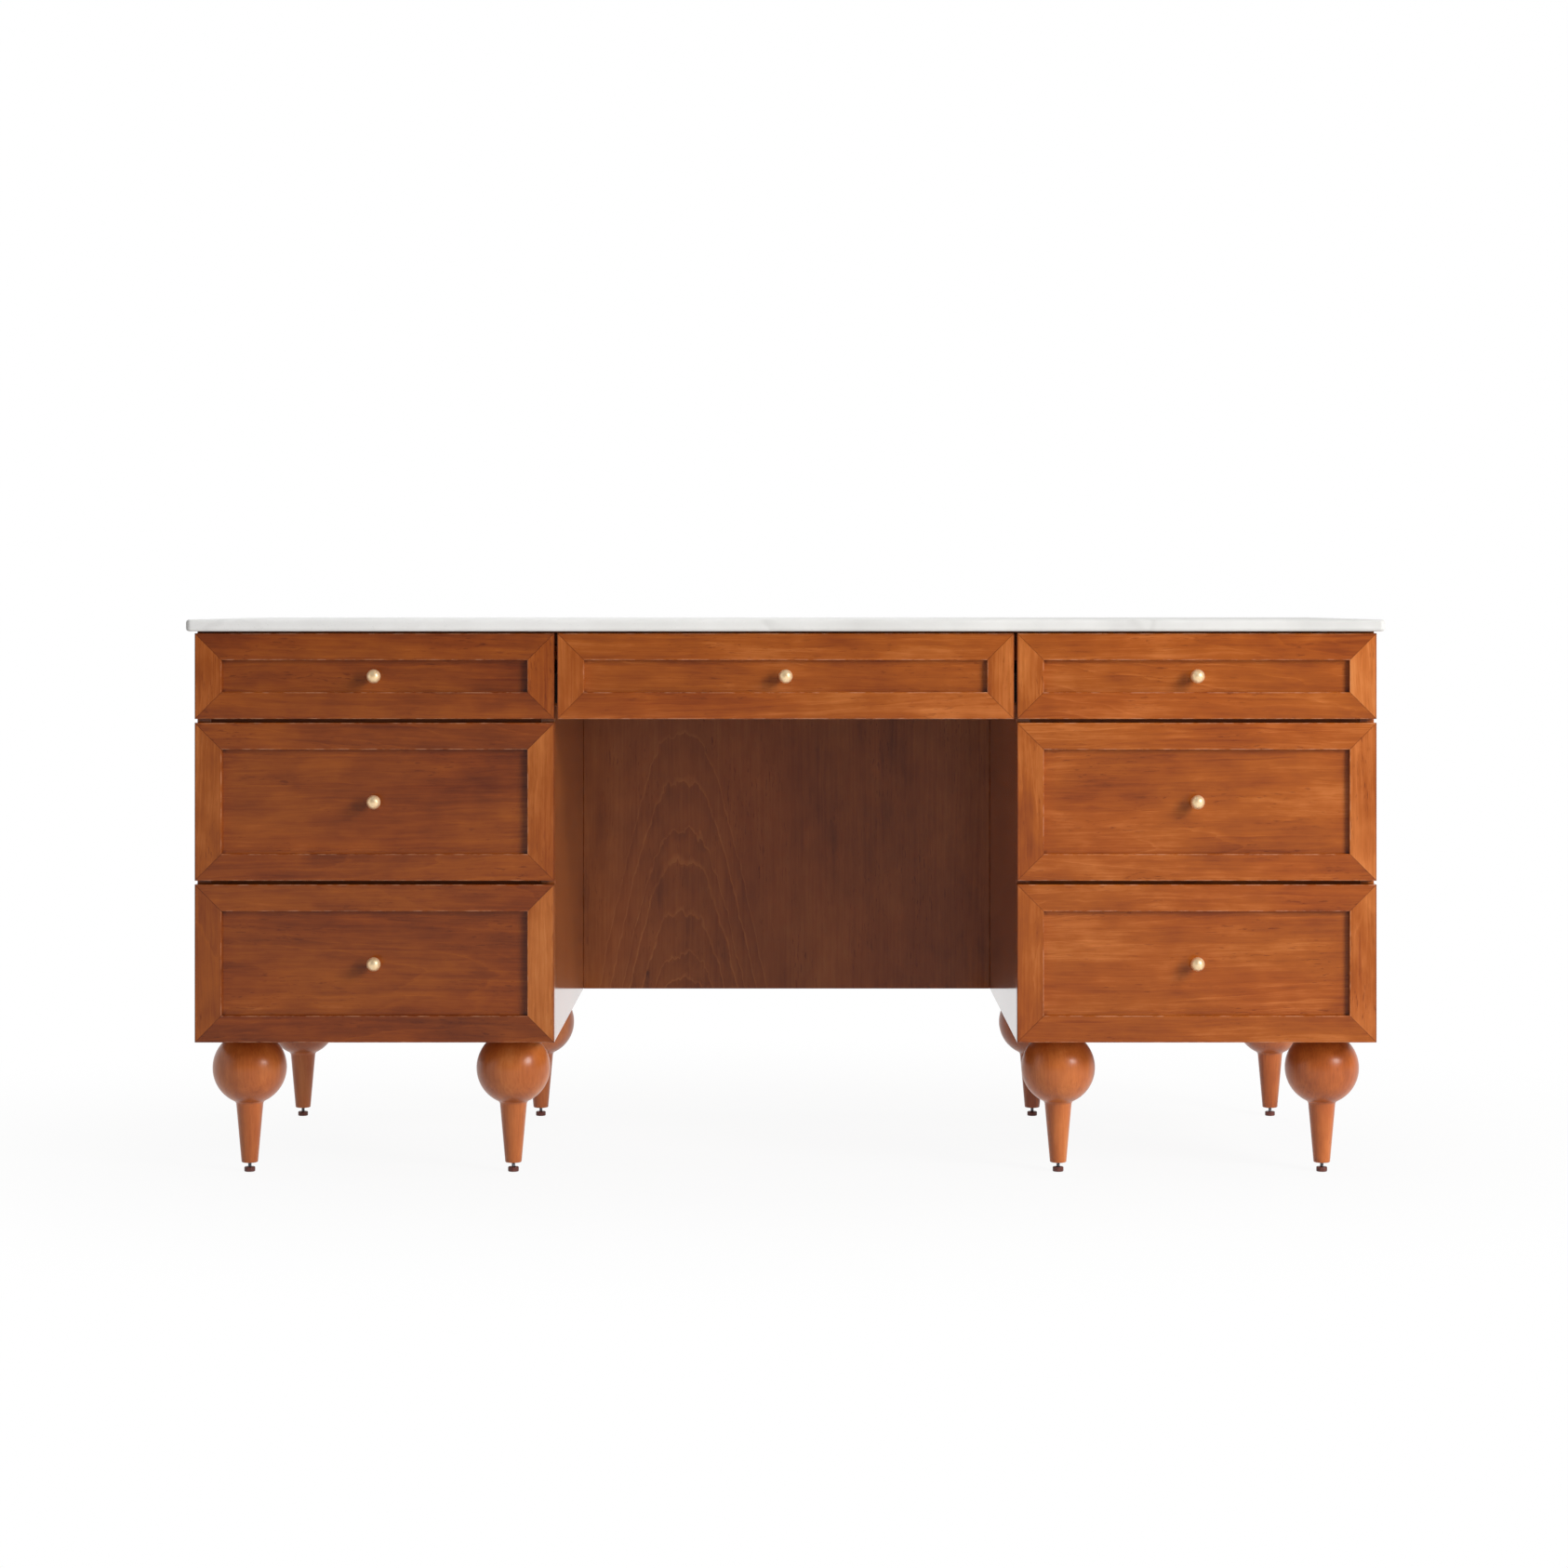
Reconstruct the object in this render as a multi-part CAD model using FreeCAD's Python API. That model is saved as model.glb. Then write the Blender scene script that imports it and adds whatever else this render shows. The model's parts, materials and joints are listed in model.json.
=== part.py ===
"""Executive desk: a stone top on two three-drawer pedestals with a drawer between them.

Millimetres, +Z up, front towards -Y. The origin is on the floor, under the middle of the whole desk.
"""
import FreeCAD, Part
import math
import os
from collections import namedtuple

from FreeCAD import Vector

# Stone top
slab_width = 1626.0
slab_depth = 711.0
slab_thick = 16.0
desk_height = 762.0
slab_overhang = 11.0  # past the drawer fronts, the sides and the back
slab_corner_round = 8.0
slab_edge_round = 4.5

# Carcass
carcass_bottom = 188.0
pedestal_width = 488.0
side_thick = 19.0
back_thick = 18.0
bottom_thick = 18.0
subtop_thick = 18.0
rail_thick = 18.0
rail_depth = 70.0

# Drawer fronts: mitred frames round a recessed panel
front_thick = 22.0
front_standoff = 0.5  # between a closed front and the carcass
front_gap = 5.0  # between one front and the next below
centre_front_gap = 4.0  # each side of the centre front
top_gap = 2.5  # between the fronts and the stone top
top_front_height = 116.5
member_width = 36.5
panel_recess = 8.5
panel_thick = 6.0
groove_depth = 8.0
panel_play = 1.5  # room for the panel to swell in its groove
front_arris = 0.8

# Drawer boxes
box_length = 510.0
box_wall = 12.0
box_floor_thick = 6.0
box_groove_depth = 6.0
dovetail_pitch = 32.0  # about one tail in this height
tail_share = 0.62  # of a tail's own height of board, at its root
tail_flare_share = 0.15  # of the wall, on each side of a tail
box_floor_lift = 8.0  # from the lower edge of the sides to the floor
box_clearance = 12.0  # under a box
box_headroom = 18.0  # over a box in a pedestal
centre_box_height = 60.0

# Drawer slides: three sheet members whose rolled edges nest in each other
slide_length = 500.0
slide_height = 45.0
slide_thick = 12.7
slide_sheet = 1.2
slide_clearance = 0.35
slide_lip_radius = 0.6
slide_shelf_drop = 4.2  # from the rolled edges' centre to the drawer member's shelf
slide_setback = 3.0  # behind the carcass front
slide_axis_height = 30.0  # above the lower edge of the box

# Knobs
knob_ball_radius = 9.5
knob_length = 28.0  # from the panel to the tip
knob_base_radius = 6.5
knob_base_thick = 1.6
knob_waist_radius = 4.2
screw_radius = 2.0
screw_head_radius = 4.0
screw_head_thick = 2.2
screw_in_knob = 9.0
screw_play = 0.25
thread_clearance = 0.05  # between a screw and what it is screwed into

# Legs
leg_side_inset = 62.0  # from the pedestal's sides to the leg's axis
leg_front_inset = 62.0  # from the carcass front
leg_back_inset = 74.0  # from the carcass back
leg_ball_radius = 50.8
leg_seat_radius = 25.0
leg_neck_radius = 18.8
leg_neck_round = 6.0  # where the ball runs into the foot
leg_foot_radius = 11.4
leg_foot_round = 1.5
bolt_radius = 4.0
bolt_in_leg = 34.0
bolt_past_nut = 2.0
bolt_play = 0.5
nut_flats = 13.0
nut_height = 8.0
nut_flange_radius = 8.9
nut_flange_thick = 1.5

# Levellers
pad_radius = 7.5
pad_thick = 6.5
pad_bevel = 1.0
stud_radius = 2.5
stud_length = 36.0
stud_show = 6.3  # between the pad and the leg
stud_end_play = 1.0  # over the stud when it is screwed right in
stud_bore_play = 0.5
insert_radius = 5.0
insert_length = 20.0

edge_match = 0.01  # how near an edge lies to the level that it is looked for at

# Places that follow from the sizes
slab_bottom = desk_height - slab_thick
subtop_bottom = slab_bottom - subtop_thick
carcass_half = slab_width / 2 - slab_overhang
kneehole_half = carcass_half - pedestal_width
knob_past_slab = knob_length - panel_recess - slab_overhang
slab_back = (slab_depth + knob_past_slab) / 2
slab_front = slab_back - slab_depth
front_face = slab_front + slab_overhang
front_back = front_face + front_thick
carcass_front = front_back + front_standoff
carcass_back = slab_back - slab_overhang
back_face = carcass_back - back_thick
pedestal_centre = carcass_half - pedestal_width / 2
pedestal_inside = pedestal_width - 2 * side_thick
leg_foot_end = pad_thick + stud_show

fronts_top = slab_bottom - top_gap
top_front_bottom = fronts_top - top_front_height
deep_front_height = (top_front_bottom - carcass_bottom) / 2 - front_gap
middle_front_bottom = carcass_bottom + deep_front_height + front_gap
rail_levels = [middle_front_bottom - front_gap / 2, top_front_bottom - front_gap / 2]
rail_tops = [level + rail_thick / 2 for level in rail_levels]
board_top = carcass_bottom + bottom_thick
deep_box_height = rail_levels[0] - rail_thick / 2 - board_top - box_clearance - box_headroom
shallow_box_height = subtop_bottom - rail_tops[1] - box_clearance - box_headroom

# Rolled edges of the slide members, from the innermost out
drawer_roll = slide_lip_radius + slide_sheet
middle_roll = drawer_roll + slide_clearance + slide_sheet
cabinet_roll = middle_roll + slide_clearance + slide_sheet
roll_level = slide_height / 2 - cabinet_roll

Drawer = namedtuple("Drawer", "name centre width bottom top box_bottom box_height inside")


def block(x0, x1, y0, y1, z0, z1):
    """A board between two corners."""
    return Part.makeBox(x1 - x0, y1 - y0, z1 - z0, Vector(x0, y0, z0))


def prism(points, along):
    """A solid of a closed outline, run along a vector."""
    outline = Part.makePolygon(points + points[:1])
    return Part.Face(outline).extrude(along)


def turned(edges, axis):
    """A solid of a half outline turned about an axis through the origin."""
    return Part.Face(Part.Wire(edges)).revolve(Vector(0, 0, 0), axis, 360)


def lines(points):
    """Straight edges through points."""
    return [Part.LineSegment(a, b).toShape() for a, b in zip(points, points[1:])]


def moved(shape, x, y, z):
    """A copy of a shape, moved."""
    copy = shape.copy()
    copy.translate(Vector(x, y, z))
    return copy


def edges_at(shape, level):
    """The edges of a shape that lie flat at a height."""
    return [e for e in shape.Edges
            if abs(e.BoundBox.ZMin - level) < edge_match and abs(e.BoundBox.ZMax - level) < edge_match]


def rod(radius, x, z, y0, y1):
    """A round bar along Y."""
    return Part.makeCylinder(radius, y1 - y0, Vector(x, y0, z), Vector(0, 1, 0))


def upright(radius, x, y, z0, z1):
    """A round bar along Z."""
    return Part.makeCylinder(radius, z1 - z0, Vector(x, y, z0), Vector(0, 0, 1))


def drawer_list():
    """The seven drawers, with the place and size of each front and box."""
    rows = {
        "bottom": (carcass_bottom, middle_front_bottom - front_gap, board_top, deep_box_height),
        "middle": (middle_front_bottom, top_front_bottom - front_gap, rail_tops[0], deep_box_height),
        "top": (top_front_bottom, fronts_top, rail_tops[1], shallow_box_height),
    }
    drawers = []
    for side, centre in (("left", -pedestal_centre), ("right", pedestal_centre)):
        for row, (bottom, top, floor, height) in rows.items():
            drawers.append(Drawer(f"{side}_{row}", centre, pedestal_width, bottom, top,
                                  floor + box_clearance, height, pedestal_inside))
    drawers.append(Drawer("centre", 0, 2 * (kneehole_half - centre_front_gap), top_front_bottom, fronts_top,
                          top_front_bottom + box_clearance, centre_box_height, 2 * kneehole_half))
    return drawers


def leg_places():
    """Name, X and Y of each leg's axis."""
    places = []
    front_row = carcass_front + leg_front_inset
    back_row = carcass_back - leg_back_inset
    for side, hand in (("left", -1), ("right", 1)):
        for reach, x in (("outer", carcass_half - leg_side_inset), ("inner", kneehole_half + leg_side_inset)):
            places.append((f"{side}_front_{reach}", hand * x, front_row))
            places.append((f"{side}_back_{reach}", hand * x, back_row))
    return places


def stone_top():
    """The slab, with round corners and eased edges."""
    slab = block(-slab_width / 2, slab_width / 2, slab_front, slab_back, slab_bottom, desk_height)
    corners = [e for e in slab.Edges if abs(e.tangentAt(e.FirstParameter).z) > 0.5]
    slab = slab.makeFillet(slab_corner_round, corners)
    rims = [e for e in slab.Edges if abs(e.BoundBox.ZMax - e.BoundBox.ZMin) < slab_thick / 2]
    return slab.makeFillet(slab_edge_round, rims)


def carcass():
    """The boards of both pedestals, the sub-top and the modesty panel."""
    boards = {}
    boards["sub_top"] = block(
        -carcass_half, carcass_half, carcass_front, carcass_back, subtop_bottom, slab_bottom)
    boards["modesty_panel"] = block(
        -kneehole_half, kneehole_half, back_face, carcass_back, carcass_bottom, subtop_bottom)
    for side, hand in (("left", -1), ("right", 1)):
        for reach, outer, inner in (
            ("outer", carcass_half, carcass_half - side_thick),
            ("inner", kneehole_half, kneehole_half + side_thick),
        ):
            x0, x1 = sorted((hand * outer, hand * inner))
            boards[f"{side}_{reach}_side"] = block(
                x0, x1, carcass_front, carcass_back, carcass_bottom, subtop_bottom)
        x0 = hand * pedestal_centre - pedestal_inside / 2
        x1 = hand * pedestal_centre + pedestal_inside / 2
        boards[f"{side}_back_panel"] = block(x0, x1, back_face, carcass_back, carcass_bottom, subtop_bottom)
        bottom = block(x0, x1, carcass_front, back_face, carcass_bottom, board_top)
        for name, x, y in leg_places():
            if name.startswith(side):
                bottom = bottom.cut(upright(bolt_radius + bolt_play, x, y, carcass_bottom, board_top))
        boards[f"{side}_bottom_panel"] = bottom
    return boards


def drawer_rails():
    """The rails between the drawers of both pedestals."""
    rails = []
    for centre in (-pedestal_centre, pedestal_centre):
        for level in rail_levels:
            rails.append(block(centre - pedestal_inside / 2, centre + pedestal_inside / 2,
                               carcass_front, carcass_front + rail_depth,
                               level - rail_thick / 2, level + rail_thick / 2))
    return rails


def frame_member(length):
    """One mitred member with its panel groove, along X: outer edge at z = 0, face at y = 0."""
    groove_back = panel_recess + panel_thick
    groove_floor = member_width - groove_depth
    section = [
        (front_arris, 0),
        (front_thick, 0),
        (front_thick, member_width),
        (groove_back, member_width),
        (groove_back, groove_floor),
        (panel_recess, groove_floor),
        (panel_recess, member_width),
        (front_arris, member_width),
        (0, member_width - front_arris),
        (0, front_arris),
    ]
    bar = prism([Vector(-length / 2, y, z) for y, z in section], Vector(length, 0, 0))
    mitred = prism([
        Vector(-length / 2, 0, 0),
        Vector(length / 2, 0, 0),
        Vector(length / 2 - member_width, 0, member_width),
        Vector(member_width - length / 2, 0, member_width),
    ], Vector(0, front_thick, 0))
    return bar.common(mitred).Solids[0]


def drawer_front(drawer):
    """Two rails, two stiles and the recessed panel."""
    height = drawer.top - drawer.bottom
    middle = (drawer.top + drawer.bottom) / 2
    pieces = []
    for turn, length, reach in ((0, drawer.width, height), (180, drawer.width, height),
                                (90, height, drawer.width), (270, height, drawer.width)):
        member = moved(frame_member(length), 0, 0, -reach / 2)
        member.rotate(Vector(0, 0, 0), Vector(0, 1, 0), turn)
        pieces.append(moved(member, drawer.centre, front_face, middle))
    edge = member_width - groove_depth + panel_play
    panel = block(drawer.centre - drawer.width / 2 + edge, drawer.centre + drawer.width / 2 - edge,
                  front_face + panel_recess, front_face + panel_recess + panel_thick,
                  drawer.bottom + edge, drawer.top - edge)
    hole = rod(screw_radius + screw_play, drawer.centre, middle, front_face, front_back)
    return pieces + [panel.cut(hole)]


def tail_row(root, tip, bottom, height):
    """Points up one end of a box side, along its dovetails, in (along, up)."""
    count = max(1, round(height / dovetail_pitch))
    step = height / count
    root_half = step * tail_share / 2
    tip_half = root_half + box_wall * tail_flare_share
    points = [(root, bottom)]
    for tail in range(count):
        centre = bottom + step * (tail + 0.5)
        points += [(root, centre - root_half), (tip, centre - tip_half),
                   (tip, centre + tip_half), (root, centre + root_half)]
    return points + [(root, bottom + height)]


def box_side(x, y0, y1, bottom, height):
    """A box side with a row of tails at each end."""
    outline = tail_row(y0 + box_wall, y0, bottom, height)
    outline += reversed(tail_row(y1 - box_wall, y1, bottom, height))
    return prism([Vector(x, y, z) for y, z in outline], Vector(box_wall, 0, 0))


def drawer_box(drawer):
    """Two sides dovetailed to an inner front and a back, with the floor let into all four."""
    half = drawer.inside / 2 - slide_thick
    left = drawer.centre - half
    right = drawer.centre + half
    y0 = front_back
    y1 = front_back + box_length
    low = drawer.box_bottom + box_floor_lift
    top = drawer.box_bottom + drawer.box_height
    sides = [box_side(x, y0, y1, drawer.box_bottom, drawer.box_height) for x in (left, right - box_wall)]
    ends = []
    for y in (y0, y1 - box_wall):
        ends.append(block(left, right, y, y + box_wall, drawer.box_bottom, top).cut(sides))
    hole = rod(screw_radius + screw_play, drawer.centre, (drawer.top + drawer.bottom) / 2, y0, y0 + box_wall)
    ends[0] = ends[0].cut(hole)
    inset = box_wall - box_groove_depth
    floor = block(left + inset, right - inset, y0 + inset, y1 - inset, low, low + box_floor_thick)
    return [wall.cut(floor).Solids[0] for wall in sides + ends] + [floor]


def knob(drawer):
    """A ball knob on the panel and the screw that holds it from inside the box."""
    middle = (drawer.top + drawer.bottom) / 2
    bore = screw_radius + thread_clearance
    ball = knob_length - knob_ball_radius
    tip = Vector(0, -knob_length, 0)
    meet = Vector(knob_waist_radius, math.sqrt(knob_ball_radius ** 2 - knob_waist_radius ** 2) - ball, 0)
    outline = lines([
        Vector(bore, -screw_in_knob, 0),
        Vector(bore, 0, 0),
        Vector(knob_base_radius, 0, 0),
        Vector(knob_base_radius, -knob_base_thick, 0),
        Vector(knob_waist_radius, -knob_base_thick, 0),
        meet,
    ])
    outline.append(Part.Arc(meet, Vector(knob_ball_radius, -ball, 0), tip).toShape())
    outline += lines([tip, Vector(0, -screw_in_knob, 0), Vector(bore, -screw_in_knob, 0)])
    panel_face = front_face + panel_recess
    head_face = front_back + box_wall
    shank = rod(screw_radius, drawer.centre, middle, panel_face - screw_in_knob, head_face)
    head = rod(screw_head_radius, drawer.centre, middle, head_face, head_face + screw_head_thick)
    return [moved(turned(outline, Vector(0, 1, 0)), drawer.centre, panel_face, middle), shank.fuse(head)]


def rolled(radius, up, start, turn):
    """Points of a rolled edge, in (across, up) from the cabinet's wall, in four facets over half a turn."""
    points = []
    for step in range(5):
        angle = math.radians(start + turn * step / 4)
        points.append((cabinet_roll + radius * math.cos(angle), up * (roll_level + radius * math.sin(angle))))
    return points


def nested_section(roll):
    """The cabinet or the middle member: a web with both edges rolled towards the drawer."""
    inner = roll - slide_sheet
    return (rolled(roll, 1, 0, 180) + rolled(roll, -1, 180, -180)
            + rolled(inner, -1, 0, 180) + rolled(inner, 1, 180, -180))


def drawer_member_section():
    """The drawer member: a web on the box, and a shelf at each edge that turns up into the middle member."""
    shelf = roll_level - slide_shelf_drop
    shelf_under = shelf - slide_sheet
    web = slide_thick - slide_sheet
    upper = (rolled(drawer_roll, 1, 180, -180)
             + [(cabinet_roll + drawer_roll, shelf), (slide_thick, shelf)])
    upper_inside = [(web, shelf_under), (cabinet_roll + slide_lip_radius, shelf_under)]
    upper_inside += rolled(slide_lip_radius, 1, 0, 180)
    lower = [(across, -up) for across, up in reversed(upper)]
    lower_inside = [(across, -up) for across, up in reversed(upper_inside)]
    return upper + lower + lower_inside + upper_inside


def slide_pair(drawer, section):
    """One member of the slides on both sides of a drawer."""
    axis = drawer.box_bottom + slide_axis_height
    start = carcass_front + slide_setback
    members = []
    for hand in (-1, 1):
        wall = drawer.centre + hand * drawer.inside / 2
        points = [Vector(wall - hand * across, start, axis + up) for across, up in section]
        members.append(prism(points, Vector(0, slide_length, 0)))
    return members


def leg(x, y):
    """A turned leg: a ball cut flat where it meets the pedestal, over a tapering foot, bored at both ends."""
    ball = carcass_bottom - math.sqrt(leg_ball_radius ** 2 - leg_seat_radius ** 2)
    neck = ball - math.sqrt(leg_ball_radius ** 2 - leg_neck_radius ** 2)
    bolt_bore = bolt_radius + thread_clearance
    bolt_end = carcass_bottom - bolt_in_leg
    stud_bore = stud_radius + stud_bore_play
    stud_top = leg_foot_end + stud_length + stud_end_play
    insert_top = leg_foot_end + insert_length
    round_start = Vector(leg_foot_radius, 0, leg_foot_end + leg_foot_round)
    round_end = Vector(leg_foot_radius - leg_foot_round, 0, leg_foot_end)
    ease = leg_foot_round * (1 - math.sqrt(0.5))
    round_middle = Vector(leg_foot_radius - ease, 0, leg_foot_end + ease)
    outline = lines([
        Vector(0, 0, bolt_end),
        Vector(bolt_bore, 0, bolt_end),
        Vector(bolt_bore, 0, carcass_bottom),
        Vector(leg_seat_radius, 0, carcass_bottom),
    ])
    outline.append(Part.Arc(
        Vector(leg_seat_radius, 0, carcass_bottom), Vector(leg_ball_radius, 0, ball),
        Vector(leg_neck_radius, 0, neck)).toShape())
    outline += lines([Vector(leg_neck_radius, 0, neck), round_start])
    outline.append(Part.Arc(round_start, round_middle, round_end).toShape())
    outline += lines([
        round_end,
        Vector(insert_radius, 0, leg_foot_end),
        Vector(insert_radius, 0, insert_top),
        Vector(stud_bore, 0, insert_top),
        Vector(stud_bore, 0, stud_top),
        Vector(0, 0, stud_top),
        Vector(0, 0, bolt_end),
    ])
    sharp = turned(outline, Vector(0, 0, 1))
    return moved(sharp.makeFillet(leg_neck_round, edges_at(sharp, neck)), x, y, 0)


def leg_bolt(x, y):
    """The hanger bolt that joins a leg to the pedestal's bottom board."""
    return upright(bolt_radius, x, y, carcass_bottom - bolt_in_leg, board_top + nut_height + bolt_past_nut)


def leg_nut(x, y):
    """The bolt's flange nut."""
    corner = nut_flats / math.sqrt(3)
    hexagon = []
    for side in range(6):
        angle = math.radians(60 * side)
        hexagon.append(Vector(x + corner * math.cos(angle), y + corner * math.sin(angle), board_top))
    nut = prism(hexagon, Vector(0, 0, nut_height))
    nut = nut.fuse(upright(nut_flange_radius, x, y, board_top, board_top + nut_flange_thick))
    return nut.cut(upright(bolt_radius + thread_clearance, x, y, board_top, board_top + nut_height))


def leveller_insert(x, y):
    """The threaded sleeve in a leg's foot."""
    top = leg_foot_end + insert_length
    sleeve = upright(insert_radius, x, y, leg_foot_end, top)
    return sleeve.cut(upright(stud_radius + thread_clearance, x, y, leg_foot_end, top))


def leveller(x, y):
    """A bevelled pad and the stud moulded into it."""
    outline = lines([
        Vector(0, 0, 0),
        Vector(pad_radius, 0, 0),
        Vector(pad_radius, 0, pad_thick - pad_bevel),
        Vector(pad_radius - pad_bevel, 0, pad_thick),
        Vector(stud_radius, 0, pad_thick),
        Vector(stud_radius, 0, pad_thick + stud_length),
        Vector(0, 0, pad_thick + stud_length),
        Vector(0, 0, 0),
    ])
    return moved(turned(outline, Vector(0, 0, 1)), x, y, 0)


def nodes():
    """Every node's solids under its name."""
    drawers = drawer_list()
    legs = leg_places()
    made = {"stone_top": [stone_top()]}
    made.update({name: [board] for name, board in carcass().items()})
    made["drawer_rails"] = drawer_rails()
    made["slide_cabinet_members"] = []
    for drawer in drawers:
        made[f"{drawer.name}_drawer_front"] = drawer_front(drawer)
        made[f"{drawer.name}_drawer_box"] = drawer_box(drawer)
        made[f"{drawer.name}_knob"] = knob(drawer)
        made[f"{drawer.name}_slide_drawer_members"] = slide_pair(drawer, drawer_member_section())
        made[f"{drawer.name}_slide_middle_members"] = slide_pair(drawer, nested_section(middle_roll))
        made["slide_cabinet_members"] += slide_pair(drawer, nested_section(cabinet_roll))
    made["legs"] = [leg(x, y) for _, x, y in legs]
    made["leg_bolts"] = [leg_bolt(x, y) for _, x, y in legs]
    made["leg_nuts"] = [leg_nut(x, y) for _, x, y in legs]
    made["leveller_inserts"] = [leveller_insert(x, y) for _, x, y in legs]
    for name, x, y in legs:
        made[f"{name}_leveller"] = [leveller(x, y)]
    return made


def main():
    """Write one STEP file for each node."""
    os.makedirs("parts", exist_ok=True)
    for name, solids in nodes().items():
        shape = solids[0] if len(solids) == 1 else Part.makeCompound(solids)
        shape.exportStep(f"parts/{name}.step")


main()
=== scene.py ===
"""Looks of the executive desk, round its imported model: wood, stone, brass and steel, then light and camera.

Metres, in the model's own frame: +Z up, the sitter at -Y, the origin on the floor under the middle.
"""
import json
import math
import random
from collections import namedtuple
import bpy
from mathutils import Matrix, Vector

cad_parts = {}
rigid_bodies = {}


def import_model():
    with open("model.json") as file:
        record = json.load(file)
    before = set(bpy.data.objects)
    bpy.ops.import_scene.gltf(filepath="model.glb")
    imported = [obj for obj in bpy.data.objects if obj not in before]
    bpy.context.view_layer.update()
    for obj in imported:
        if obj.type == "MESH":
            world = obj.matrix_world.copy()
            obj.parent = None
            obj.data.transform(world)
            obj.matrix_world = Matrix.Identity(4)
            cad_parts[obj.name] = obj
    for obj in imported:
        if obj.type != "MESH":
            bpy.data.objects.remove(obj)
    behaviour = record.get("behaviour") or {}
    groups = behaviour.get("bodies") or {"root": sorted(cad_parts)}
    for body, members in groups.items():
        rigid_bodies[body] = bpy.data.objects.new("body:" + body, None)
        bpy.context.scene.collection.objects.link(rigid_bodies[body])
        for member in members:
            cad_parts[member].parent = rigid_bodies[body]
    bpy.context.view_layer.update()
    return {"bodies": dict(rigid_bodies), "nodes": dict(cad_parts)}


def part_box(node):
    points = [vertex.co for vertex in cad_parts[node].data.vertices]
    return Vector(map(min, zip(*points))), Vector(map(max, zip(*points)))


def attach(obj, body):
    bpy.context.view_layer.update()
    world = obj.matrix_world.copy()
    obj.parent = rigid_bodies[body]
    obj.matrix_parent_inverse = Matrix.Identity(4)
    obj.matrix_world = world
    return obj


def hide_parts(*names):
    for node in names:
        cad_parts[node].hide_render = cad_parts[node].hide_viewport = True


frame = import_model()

from types import SimpleNamespace

import bmesh
import bpy
from mathutils import Matrix, Vector

chance = random.Random(20)

# Drawer fronts
member_width = 0.0365
panel_recess = 0.0085
panel_thick = 0.006
groove_depth = 0.008
panel_play = 0.0015
outer_arris = 0.0011
inner_arris = 0.0007
mitre_gap = 0.00012  # of each member at a mitre

# Drawer boxes
box_wall = 0.012
box_floor_lift = 0.008
box_floor_thick = 0.006
dovetail_pitch = 0.032
tail_share = 0.62
tail_flare_share = 0.15

# Drawer slides: three sheet members whose rolled edges nest
slide_sheet = 0.0012
slide_clearance = 0.00035
slide_lip_radius = 0.0006
slide_shelf_drop = 0.0042
slide_thick = 0.0127
slide_height = 0.045
slide_screws = 4
slide_screw_radius = 0.0034
slide_screw_height = 0.0018
slide_screw_inset = 0.036

# Knobs and their screws
knob_ball_radius = 0.0095
knob_base_radius = 0.0065
knob_base_thick = 0.0016
knob_waist_radius = 0.0042
knob_ease = 0.0004
knob_fillet = 0.0016
knob_screw_bore = 0.00205
knob_screw_radius = 0.002
knob_screw_in = 0.009
screw_head_radius = 0.004
screw_head_thick = 0.0022
screw_hole_radius = 0.00225
head_rim_share = 0.4
cross_half_length = 0.0022
cross_half_width = 0.0005
cross_floor_share = 0.5  # of the screw head's thickness

# Legs and levellers
leg_ball_radius = 0.0508
leg_seat_radius = 0.025
leg_neck_radius = 0.0188
leg_neck_round = 0.006
leg_foot_radius = 0.0114
leg_foot_round = 0.0015
insert_radius = 0.005
insert_length = 0.020
insert_ease = 0.0003
stud_radius = 0.0025
stud_play = 0.00005
stud_sides = 24
stud_pitch = 0.0008
thread_depth = 0.00035
pad_thick = 0.0065
pad_round = 0.0012
pad_collar = 0.0012
pad_dip = 0.0004
bolt_hole_radius = 0.0045

# Boards and stone
board_arris = 0.0008
slab_corner_round = 0.008
slab_edge_round = 0.0045

# Tones of each side's fronts, and of their left and right stiles: partly the wood's own tone, partly painted
# light, with the left fronts darker, the right fronts lighter and most right-hand stiles lighter, as the
# light falls from the right
side_tones = {"left": (0.82, 1.36, 1.56), "centre": (1.14, 1.2, 1.16), "right": (1.14, 1.0, 1.3)}

# Turned profiles
on_axis = 1e-9

# Photograph and camera
image_size = 1686
camera_place = Vector((0.0104, -5.136, 0.785))
camera_lens = 81.15
sensor_width = 36.0
horizon_pixel = 648
vanishing_pixel = 853

drawers = [name[:-len("_drawer")] for name in frame["bodies"] if name.endswith("_drawer")]
feet = [name[:-len("_foot")] for name in frame["bodies"] if name.endswith("_foot")]

Shape = namedtuple("Shape", "points faces")
Part = namedtuple("Part", "points faces grain place reach finish")


# Shapes

def shape_of(mesh):
    """The points and faces of a bmesh, which ends here."""
    mesh.verts.index_update()
    shape = Shape([v.co.copy() for v in mesh.verts], [[v.index for v in face.verts] for face in mesh.faces])
    mesh.free()
    return shape


def box_shape(lo, hi, arris=board_arris):
    """A board with rounded arrises."""
    mesh = bmesh.new()
    bmesh.ops.create_cube(mesh, size=1)
    for v in mesh.verts:
        v.co = Vector([lo[i] + (v.co[i] + 0.5) * (hi[i] - lo[i]) for i in range(3)])
    if arris:
        bmesh.ops.bevel(mesh, geom=mesh.edges[:], offset=arris, segments=3, profile=0.5, affect="EDGES")
    return shape_of(mesh)


def ring_faces(lower, upper):
    """Faces between two rings of point numbers; equal corners count once."""
    faces = []
    for i in range(len(lower)):
        j = (i + 1) % len(lower)
        corners = [lower[i], lower[j], upper[j], upper[i]]
        face = [c for k, c in enumerate(corners) if c != corners[k - 1]]
        if len(face) > 2:
            faces.append(face)
    return faces


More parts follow.
